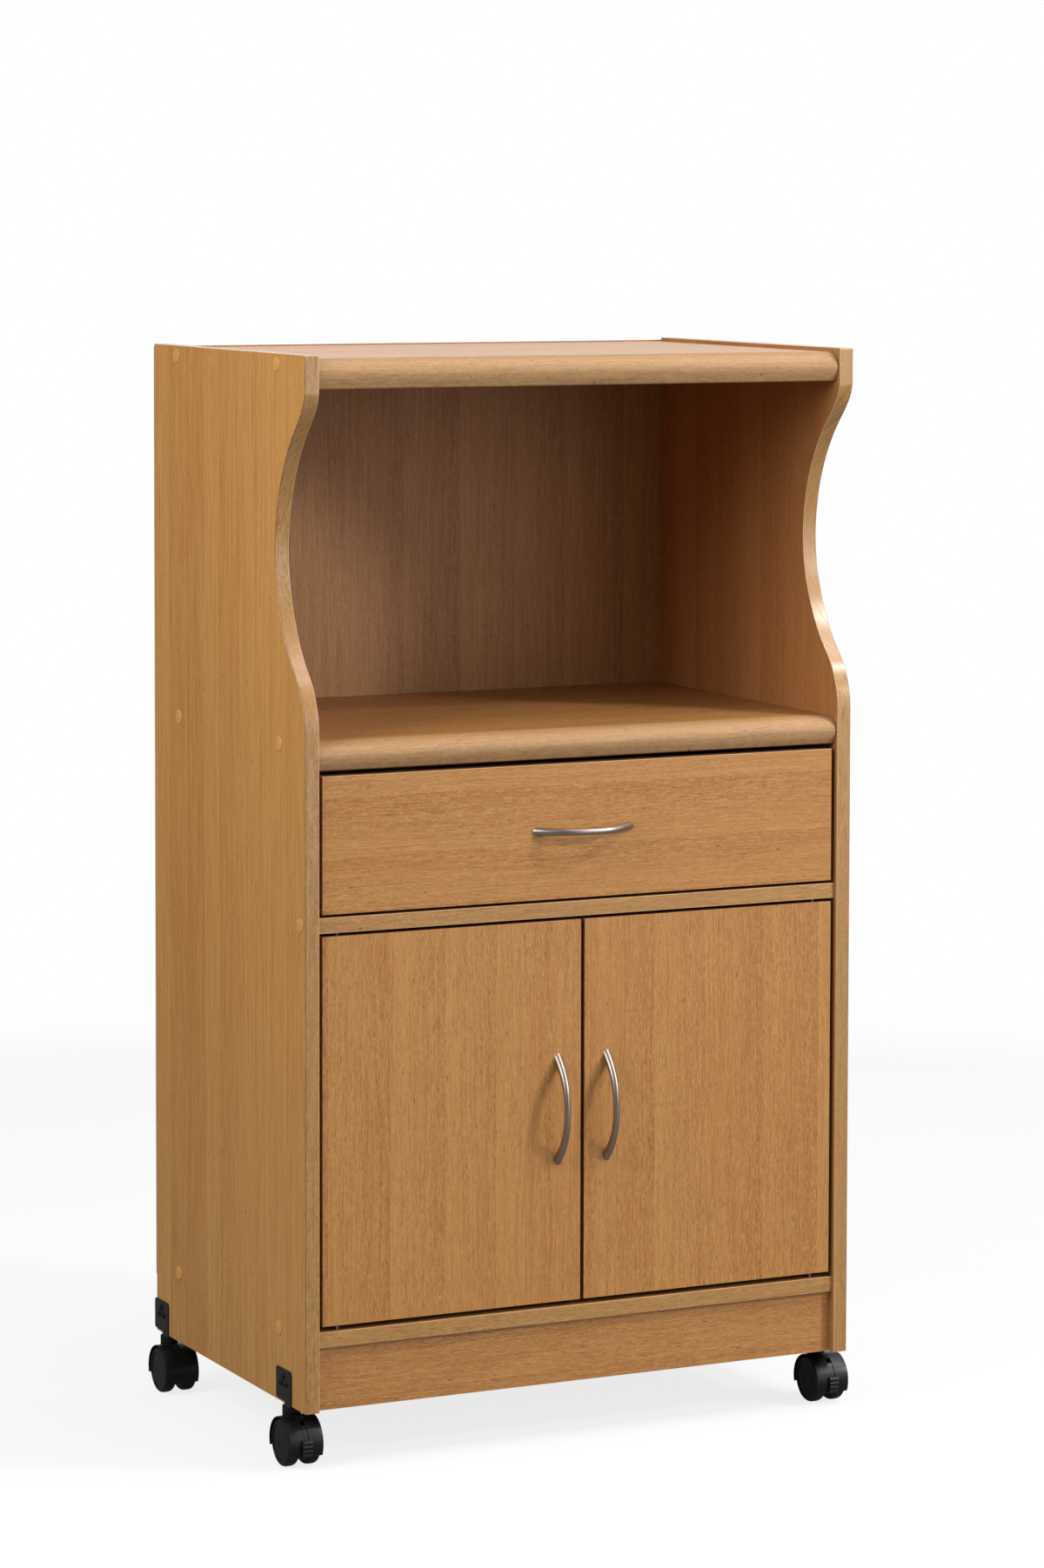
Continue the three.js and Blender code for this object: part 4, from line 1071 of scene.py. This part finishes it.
for end, plate in (("front", 33.5), ("rear", 362.0)):
    for side, sn in ((-1, "left"), (1, "right")):
        name = f"{end}_{sn}"
        cx, cy = side * 300.0, D(plate + 18.5)
        ay, az = cy - TRAIL, WHEEL_R

        # hood: a thin crowned shell over both wheels, a web between them, a boss for the stem
        angles = [-25 + 222 * i / 74 for i in range(75)]
        shell = ring_sweep(
            [shell_section(18.5, 25.2, 26.4, 0.35) for _ in angles], angles, cx, ay, az
        )
        web_pts = [polar(ay, az, 25.9, -25 + 222 * i / 60) for i in range(61)]
        web = prism("x", web_pts, cx - 4.6, cx + 4.6)
        boss = lathe("z", (cx, cy, 0), 1, [(0, 36), (9.4, 36), (9.4, 56.6), (9.1, 57.3), (8.5, 57.6), (5.4, 57.6), (5.0, 57.2), (0, 57.2)], 40)
        wells = [
            lathe("x", (cx + s * 4.6, ay, az), s, [(0, 0), (25.2, 0), (25.2, 16), (0, 16)], 72) for s in (-1, 1)
        ]
        boss = cut(boss, *wells)
        body = union(shell, web, boss)
        # raised spine from the boss down to the pedal's slot
        spine = ring_sweep(
            [[(-3.9, 25.6), (-3.9, 26.55), (-3.5, 26.85), (3.5, 26.85), (3.9, 26.55), (3.9, 25.6)]] * 13,
            [61 + 26 * i / 12 for i in range(13)], cx, ay, az,
        )
        body = union(body, spine)
        stem_hole = lathe("z", (cx, cy, 46.5), 1, [(0, 0), (4.3, 0), (4.3, 14), (0, 14)], 28)
        tools = [stem_hole]
        if end == "front":
            tools.append(sector(cx, 2.8, ay, az, 19.5, 28.5, 7, 60, 14))
        body = cut(body, *tools)
        piece(f"caster_cover_{name}", body, [M["black"]], f"caster_{name}", f"caster_hood_{name}", sharp=34)

        axle = lathe("x", (cx - 14.9, ay, az), 1, [(0, 0), (2.6, 0), (3.0, 0.4), (3.0, 29.4), (2.6, 29.8), (0, 29.8)], 28)
        piece(f"caster_pin_{name}", axle, [M["zinc"]], f"caster_{name}", f"caster_axle_{name}")

        # wheels: a crowned tread, a raised rim, a shallow dished disc
        profile = [(0, 10.0), (3.3, 10.0), (3.3, 0.2), (3.5, 0.0), (20.8, 0.0), (22.0, 0.15), (22.8, 0.9), (23.5, 2.0), (23.9, 3.4), (24.0, 5.0),
                   (24.0, 8.0), (23.9, 9.6), (23.4, 10.9), (22.6, 11.8), (21.6, 12.35), (20.9, 12.5), (20.2, 12.5), (19.8, 12.3), (19.6, 11.9),
                   (19.4, 11.55), (18.9, 11.45), (14.0, 11.62), (8.0, 11.72), (6.2, 11.75), (5.8, 11.6), (5.4, 11.45), (5.0, 11.45), (0, 11.5)]
        for s in (-1, 1):
            which = "outer" if s == side else "inner"
            bm = lathe("x", (cx + s * 5.2, ay, az), s, profile, 64)
            for f in bm.faces:
                m = f.calc_center_median()
                rr = math.hypot(m.y - ay, m.z - az)
                along = (m.x - (cx + s * 5.2)) * s
                f.material_index = 1 if along > 11.3 and rr < 20.6 else 0
            piece(f"caster_wheel_{name}_{which}", bm, [M["tread"], M["black_disc"]], f"wheel_{name}_{which}", f"wheel_{name}_{which}", sharp=50)

        if end == "front":
            arm = sector(cx, 2.2, ay, az, 21.8, 25.8, 9.5, 46, 12)
            py, pz = polar(ay, az, 23.8, 46)
            knuckle = lathe("x", (cx - 2.2, py, pz), 1, [(0, 0), (1.9, 0), (2.2, 0.3), (2.2, 4.1), (1.9, 4.4), (0, 4.4)], 20)
            neck = sector(cx, 2.2, ay, az, 21.8, 29.4, 9.5, 13, 2)
            angs, loops = [], []
            steps = 74
            for i in range(steps + 1):
                a = -24 + 37 * i / steps
                lift = 0.0
                for rib in (-17.5, -9.0, -0.5, 8.0):
                    lift = max(lift, 0.55 * max(0.0, 1 - abs(a - rib) / 1.7) ** 0.5 if abs(a - rib) < 1.7 else 0.0)
                tip = max(0.0, (a - 11) / 2, (-22 - a) / 2)
                top = 29.35 + lift - 0.8 * tip * tip
                h = 5.5 - 0.5 * tip * tip
                angs.append(a)
                loops.append([(-h, 27.3), (-h, top - 0.7), (-h + 0.25, top - 0.2), (-h + 0.8, top), (h - 0.8, top), (h - 0.25, top - 0.2), (h, top - 0.7), (h, 27.3), (h - 0.4, 26.9), (-h + 0.4, 26.9)])
            pad = ring_sweep(loops, angs, cx, ay, az)
            piece(f"caster_brake_{name}", union(arm, knuckle, neck, pad), [M["black"]], f"brake_pedal_{name}", f"brake_pedal_{name}", sharp=40)

        # bracket: plate on the panel's outer face, a leg under the panel, a stem
        outline = [
            (plate, -1.6), (plate + 13.5, -1.6), (plate + 13.5, 0.4), (plate + 13.9, 1.5), (plate + 14.8, 2.4), (plate + 16.6, 3),
            (plate + 34.2, 3), (plate + 35.6, 3.4), (plate + 36.6, 4.4), (plate + 37, 6), (plate + 37, 31), (plate + 36.7, 32.8),
            (plate + 35.8, 34.2), (plate + 34.6, 34.8), (plate + 33, 35), (plate + 4, 35), (plate + 2.4, 34.8), (plate + 1.2, 34.1),
            (plate + 0.4, 32.8), (plate, 31),
        ]
        plate_bm = prism("x", [(D(d), Z(z)) for d, z in outline], min(side * 307.5, side * 309.1), max(side * 307.5, side * 309.1), r=0.35)
        leg = [(309.1, plate), (309.1, plate + 13.5), (306.5, plate + 13.5), (305.1, plate + 30), (289.5, plate + 30), (289.5, plate)]
        leg_bm = prism("z", [(side * x, D(d)) for x, d in leg], Z(-1.6), Z(0), r=0.25)
        stem = lathe("z", (cx, cy, 0), 1, [(0, 47.3), (3.4, 47.3), (4.0, 48.0), (4.0, 57.75), (6.6, 57.75), (6.9, 58.0), (6.9, 58.6), (4, 59.2), (0, 59.2)], 28)
        holes = [
            lathe("x", (side * 305, D(plate + d), Z(z)), side, [(0, 0), (2.1, 0), (2.1, 6), (0, 6)], 20)
            for d, z in ((18.5, 27.5), (12.5, 20), (24.5, 20))
        ]
        bracket = cut(union(plate_bm, leg_bm, stem), *holes)
        piece(f"caster_mount_{name}", bracket, [M["black_steel"]], "cabinet", f"caster_bracket_{name}", sharp=34)
        heads = [
            placed(PAN, (side * 309.1, D(plate + d), Z(z)), (side, 0, 0), d * 0.37, 1.0)
            for d, z in ((18.5, 27.5), (12.5, 20), (24.5, 20))
        ]
        piece(f"caster_screws_{name}", merged(*heads), [M["black_steel"]], "cabinet", ())

for bm in (PAN, CAP, NAIL, HANDLE):
    bm.free()
for m in DUMMY:
    bpy.data.materials.remove(m)


# ------------------------------------------------------------------------------------ floor and light
bm = bmesh.new()
bmesh.ops.create_circle(bm, cap_ends=True, cap_tris=False, segments=128, radius=60000)
for v in bm.verts:
    v.co *= 0.001
me = bpy.data.meshes.new("studio_floor")
bm.to_mesh(me)
bm.free()
AMBIENT = 0.38
floor = bpy.data.objects.new("studio_floor", me)
scene.collection.objects.link(floor)
t = Tree("studio_floor")
co, _ = t.mm()
far = t.math("SQRT", t.add(t.mul(co[0], co[0]), t.mul(co[1], co[1])))
mottle = t.noise(t.xyz(t.mul(co[0], 0.01), t.mul(co[1], 0.01), 0.0), 3.0, 0.5)
t.link(t.mix(mottle, (0.86, 0.86, 0.86, 1), (0.90, 0.90, 0.90, 1)), t.bsdf.inputs["Base Color"])
t.bsdf.inputs["Roughness"].default_value = 0.9
t.bsdf.inputs["Specular IOR Level"].default_value = 0.1
# Seen straight on, the floor is the same even white as the backdrop, with the shadow only faint;
# the light it throws back is that of a pale grey.
path = t.new("ShaderNodeLightPath")
glow = t.new("ShaderNodeEmission")
glow.inputs["Color"].default_value = (1, 1, 1, 1)
t.link(t.remap(path.outputs["Is Camera Ray"], 0.0, 1.0, 0.10, 1.0), glow.inputs["Strength"])
mixer = t.new("ShaderNodeMixShader")
fade = t.remap(far, 700, 2600, 0.0, 1.0, smooth=True)
t.link(t.math("MAXIMUM", fade, 0.80), mixer.inputs[0])
t.link(t.bsdf.outputs[0], mixer.inputs[1])
t.link(glow.outputs[0], mixer.inputs[2])
t.link(mixer.outputs[0], t.out.inputs["Surface"])
me.materials.append(t.mat)

world = bpy.data.worlds.new("studio")
scene.world = world
world.use_nodes = True
wt = world.node_tree
wt.nodes.clear()


def wnode(kind, op=None):
    n = wt.nodes.new(kind)
    if op:
        n.operation = op
    return n


def wmath(op, a, b):
    n = wnode("ShaderNodeMath", op)
    for i, v in enumerate((a, b)):
        if isinstance(v, (int, float)):
            n.inputs[i].default_value = v
        else:
            wt.links.new(v, n.inputs[i])
    return n.outputs[0]


def lobe(towards, start, full, strength):
    """A soft bright patch of studio wall round a direction; start and full are cosines."""
    d = wnode("ShaderNodeVectorMath", "DOT_PRODUCT")
    wt.links.new(w_co.outputs["Generated"], d.inputs[0])
    d.inputs[1].default_value = Vector(towards).normalized()
    m = wnode("ShaderNodeMapRange")
    m.interpolation_type = "SMOOTHSTEP"
    wt.links.new(d.outputs["Value"], m.inputs["Value"])
    for k, v in zip(("From Min", "From Max", "To Min", "To Max"), (start, full, 0.0, strength)):
        m.inputs[k].default_value = v
    return m.outputs["Result"]


w_co = wnode("ShaderNodeTexCoord")
w_out = wnode("ShaderNodeOutputWorld")
w_bg = wnode("ShaderNodeBackground")
w_path = wnode("ShaderNodeLightPath")
# what mirrors in the gloss: a dim room, a pale wall behind the cart, a softbox above
gloss = wmath("ADD", 0.20, lobe((0.44, 0.89, 0.16), 0.80, 0.97, 1.0))
gloss = wmath("ADD", gloss, lobe((0.5, -0.1, 0.9), 0.74, 0.97, 1.2))
diffuse = AMBIENT
level = wmath(
    "ADD",
    wmath("MULTIPLY", w_path.outputs["Is Diffuse Ray"], diffuse),
    wmath("ADD", wmath("MULTIPLY", w_path.outputs["Is Glossy Ray"], gloss), w_path.outputs["Is Camera Ray"]),
)
w_bg.inputs["Color"].default_value = (1, 1, 1, 1)
wt.links.new(level, w_bg.inputs["Strength"])
wt.links.new(w_bg.outputs[0], w_out.inputs["Surface"])


def lamp(name, towards, distance, size, power, aim=(0, 0, 0.55)):
    """An area light seen from the cart in the direction `towards`."""
    data = bpy.data.lights.new(name, "AREA")
    data.shape = "DISK"
    data.size = size
    data.energy = power
    o = bpy.data.objects.new(name, data)
    scene.collection.objects.link(o)
    d = Vector(towards).normalized()
    o.location = Vector(aim) + d * distance
    o.rotation_euler = d.to_track_quat("Z", "Y").to_euler()
    return o


lamp("key_low", (1.1, -1.0, 0.55), 3.2, 0.40, 40)
lamp("key_high", (1.25, -1.0, 1.5), 3.2, 0.28, 28)
lamp("front", (0.5, -1.0, 0.20), 3.6, 2.6, 27)
lamp("fill_left", (-1.9, -0.55, 1.0), 2.3, 1.3, 36, aim=(0, 0, 0.7))
lamp("top", (0.4, -0.1, 0.9), 3.2, 1.8, 35)

scene.view_settings.view_transform = "Standard"
scene.view_settings.look = "None"
